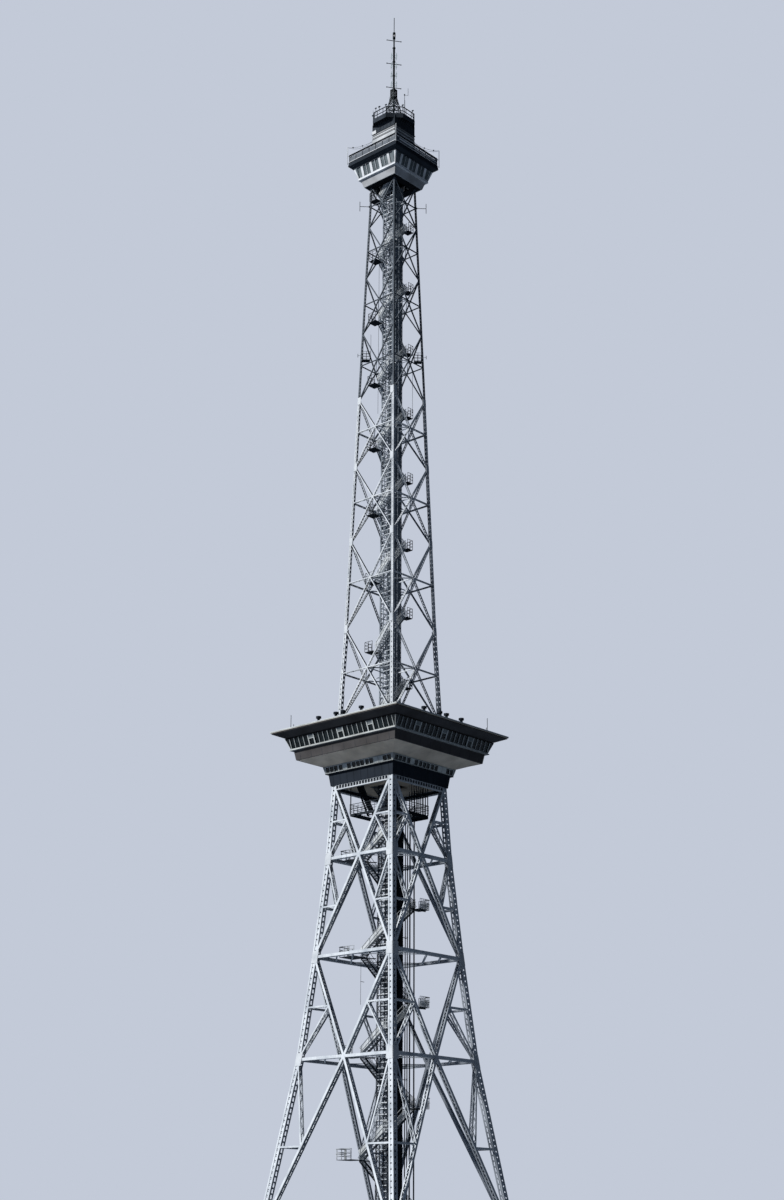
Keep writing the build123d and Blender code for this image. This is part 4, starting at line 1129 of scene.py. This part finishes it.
# Mast: the tapered foot and the box above it are laced with rods, and the tube has flanges, rungs and
# small dipoles on brackets. Two obstruction lamps stand beside the beacon.
mast_paint = old_paint("dark_green_grey_mast_paint", "#232b2d", "#171d1f", "#3f372f", 0.45)
dress(mast_paint, "mast_foot", "mast_box", "mast_tube", "mast_beacon", "mast_whip", "mast_crossbars")
box_foot_z = 13.526
box_top_z = 13.640
tube_top_z = 14.250
beacon_z = 14.380
foot_half = 0.105
box_half = 0.031
foot_rise = 0.394
box_bay = 0.0196
rod_inset = 0.0045
bm = bmesh.new()
levels = [
    (gallery_z + 0.0006 + share * foot_rise, foot_half + (box_half - foot_half) * share - rod_inset)
    for share in (0, 0.24, 0.45, 0.63, 0.8, 0.9, 1.0)
]
for (z0, half0), (z1, half1) in zip(levels, levels[1:]):
    add_rod(bm, (-half1, -half1, z1), (half1, -half1, z1), 0.0035, 6)
    for hand in (-1, 1):
        add_rod(bm, (hand * half0, -half0, z0), (-hand * half1, -half1, z1), 0.0028, 6)
    add_rod(bm, (half0, -half0, z0), (half1, -half1, z1), 0.0055)
x, y = 0.027, -0.0285
for bay in range(5):
    low = box_foot_z + 0.008 + bay * box_bay
    for x0, z1 in ((-x, low + box_bay), (x, low + box_bay), (-x, low)):
        add_rod(bm, (x0, y, low), (-x0, y, z1), 0.002, 6)
low, high = gallery_z + 0.0002, gallery_z + 0.006
add_box(bm, (-foot_half, -foot_half - 0.004, low), (foot_half + 0.004, -foot_half + 0.010, high))
all_round(bm)
for z in (box_top_z + 0.004, 13.845, 14.045, tube_top_z - 0.004):
    add_post(bm, 0, 0, z - 0.004, z + 0.004, 0.019, 16)
for rung in range(14):
    z = box_top_z + 0.040 + rung * 0.041
    add_rod(bm, (-0.020, 0, z), (0.020, 0, z), 0.0015, 6)
finish("mast_lacing", bm, mast_paint, "mast_paint", "mast_foot")
dipole_paint = old_paint("pale_green_dipoles", "#a9bdb8", "#8ea39e", "#6d6a5c", 0.5)
bm = bmesh.new()
x = -0.045
for dipole in range(4):
    z = 13.720 + dipole * 0.135
    add_rod(bm, (-0.013, 0, z), (x, 0, z), 0.0014, 6)
    add_post(bm, x, 0, z - 0.030, z + 0.030, 0.0025)
    add_rod(bm, (x, -0.012, z), (x, 0.012, z), 0.0016, 6)
all_round(bm)
finish("mast_dipoles", bm, dipole_paint, "mast_paint")
lamp_glass = old_paint("pale_lamp_glass", "#e9e4e2", "#cfc6c4", "#a98c84", 0.25)
lamps, arms = bmesh.new(), bmesh.new()
for x, y, z in ((0.022, -0.020, beacon_z + 0.016), (-0.024, 0.024, beacon_z + 0.036)):
    add_rod(arms, (x * 0.5, y * 0.5, z), (x, y, z), 0.002, 6)
    add_post(lamps, x, y, z, z + 0.020, 0.0075, 12)
finish("obstruction_lamps", lamps, lamp_glass, "mast_paint")
finish("obstruction_lamp_arms", arms, mast_paint, "mast_paint")

# Aerials and balconies on the legs: arms with upright dipoles under the cabin, on two opposite legs.
# Lower down each of them has a small railed balcony on its inside and a short dipole outside.
aerial_z = 11.990
balcony_z = 9.950
balcony_rise = 0.105
balcony_half = 0.026
diagonal = Vector((1, 1, 0)).normalized()
across = Vector((1, -1, 0)).normalized()
bm = bmesh.new()
clamp = diagonal * (half_at(aerial_z) - 0.004) * sqrt(2) + up_axis * aerial_z
tip = clamp + diagonal * 0.120
add_rod(bm, clamp, tip, 0.0035)
add_rod(bm, clamp - diagonal * 0.012, clamp + diagonal * 0.014, 0.010)
add_rod(bm, tip - up_axis * 0.065, tip + up_axis * 0.065, 0.0035)
outer_reach = (half_at(balcony_z) - 0.019) * sqrt(2)
inner = diagonal * (outer_reach - 0.085) + up_axis * balcony_z
outer = diagonal * outer_reach + up_axis * balcony_z
drop = up_axis * 0.006
add_bar(bm, inner - drop, outer - drop, 0.056, 0.012, up_axis)
for edge in (-across * balcony_half, across * balcony_half):
    for share in (0.0, 0.5, 0.97):
        x, y, z = inner.lerp(outer, share) + edge
        add_post(bm, x, y, z, z + balcony_rise, 0.0026)
    for rise in (0.035, 0.070, balcony_rise):
        lift = edge + up_axis * rise
        add_rod(bm, inner + lift, outer + lift, 0.0024, 6)
for rise in (0.035, 0.070, balcony_rise):
    lift = inner + up_axis * rise
    add_rod(bm, lift - across * balcony_half, lift + across * balcony_half, 0.0024, 6)
start = outer + diagonal * 0.026 + up_axis * 0.060
end = start + diagonal * 0.030
add_rod(bm, start, end, 0.002, 6)
add_rod(bm, end - up_axis * 0.022, end + up_axis * 0.022, 0.003)
all_round(bm, 2)
finish("leg_aerials_and_balconies", bm, pipe_paint, "light_steel")

# Floor, lamp and camera: a plain floor and sky, one soft sun from the left of the front side, and the
# camera on the near right diagonal, low and tilted up, so that the right side lies in blue shade.
floor_half = 60
bm = bmesh.new()
bmesh.ops.create_grid(bm, x_segments=1, y_segments=1, size=floor_half)
floor_mesh = bpy.data.meshes.new("floor")
bm.to_mesh(floor_mesh)
bm.free()
floor_paint = bpy.data.materials.new("pale_floor")
floor_paint.use_nodes = True
shader = floor_paint.node_tree.nodes["Principled BSDF"]
shader.inputs["Base Color"].default_value = linear("#6f7a86")
shader.inputs["Roughness"].default_value = 0.9
floor_mesh.materials.append(floor_paint)
floor = bpy.data.objects.new("floor", floor_mesh)
stage = bpy.context.scene
stage.collection.objects.link(floor)

world = bpy.data.worlds.new("pale_sky")
world.use_nodes = True
stage.world = world
direction = add_node(world, "ShaderNodeTexCoord").outputs["Generated"]
level = add_node(world, "ShaderNodeSeparateXYZ", {}, {"Vector": direction}).outputs["X"]
fading = {"From Min": -0.5, "From Max": 0.4, "To Min": 0.45, "To Max": 0.025}
strength = add_node(world, "ShaderNodeMapRange", fading, {"Value": level}).outputs["Result"]
sky = world.node_tree.nodes["Background"]
sky.inputs["Color"].default_value = linear("#8fb0e6")
world.node_tree.links.new(strength, sky.inputs["Strength"])
seen_sky = add_node(world, "ShaderNodeBackground", {"Color": linear("#c3cad8"), "Strength": 1.0})
rays = add_node(world, "ShaderNodeLightPath")
shaders = {0: rays.outputs["Is Camera Ray"], 1: sky.outputs[0], 2: seen_sky.outputs[0]}
chosen = add_node(world, "ShaderNodeMixShader", {}, shaders)
surface = world.node_tree.nodes["World Output"].inputs["Surface"]
world.node_tree.links.new(chosen.outputs["Shader"], surface)

sun_data = bpy.data.lights.new("sun", "SUN")
sun_data.energy = 4.5
sun_data.angle = radians(6)
sun = bpy.data.objects.new("sun", sun_data)
sun.rotation_euler = Vector((-0.55, -1.0, 0.62)).to_track_quat("Z", "Y").to_euler()
stage.collection.objects.link(sun)

camera_data = bpy.data.cameras.new("camera")
camera_data.lens = 56.125
camera_data.sensor_width = 36
camera_data.clip_end = 200
camera = bpy.data.objects.new("camera", camera_data)
stage.collection.objects.link(camera)
stage.camera = camera
view_turn = radians(41.986)
view_tilt = radians(19.2558)
view_roll = radians(0.3455)
away = Vector((-sin(view_turn), cos(view_turn), 0))
right = Vector((cos(view_turn), sin(view_turn), 0))
ahead = away * cos(view_tilt) + up_axis * sin(view_tilt)
above = up_axis * cos(view_tilt) - away * sin(view_tilt)
rolled_right = right * cos(view_roll) + above * sin(view_roll)
rolled_above = above * cos(view_roll) - right * sin(view_roll)
placed = Matrix((rolled_right, rolled_above, -ahead)).transposed().to_4x4()
placed.translation = -away * 19.6114 + right * 0.016 + up_axis * 0.16
camera.matrix_world = placed
stage.view_settings.view_transform = "Standard"
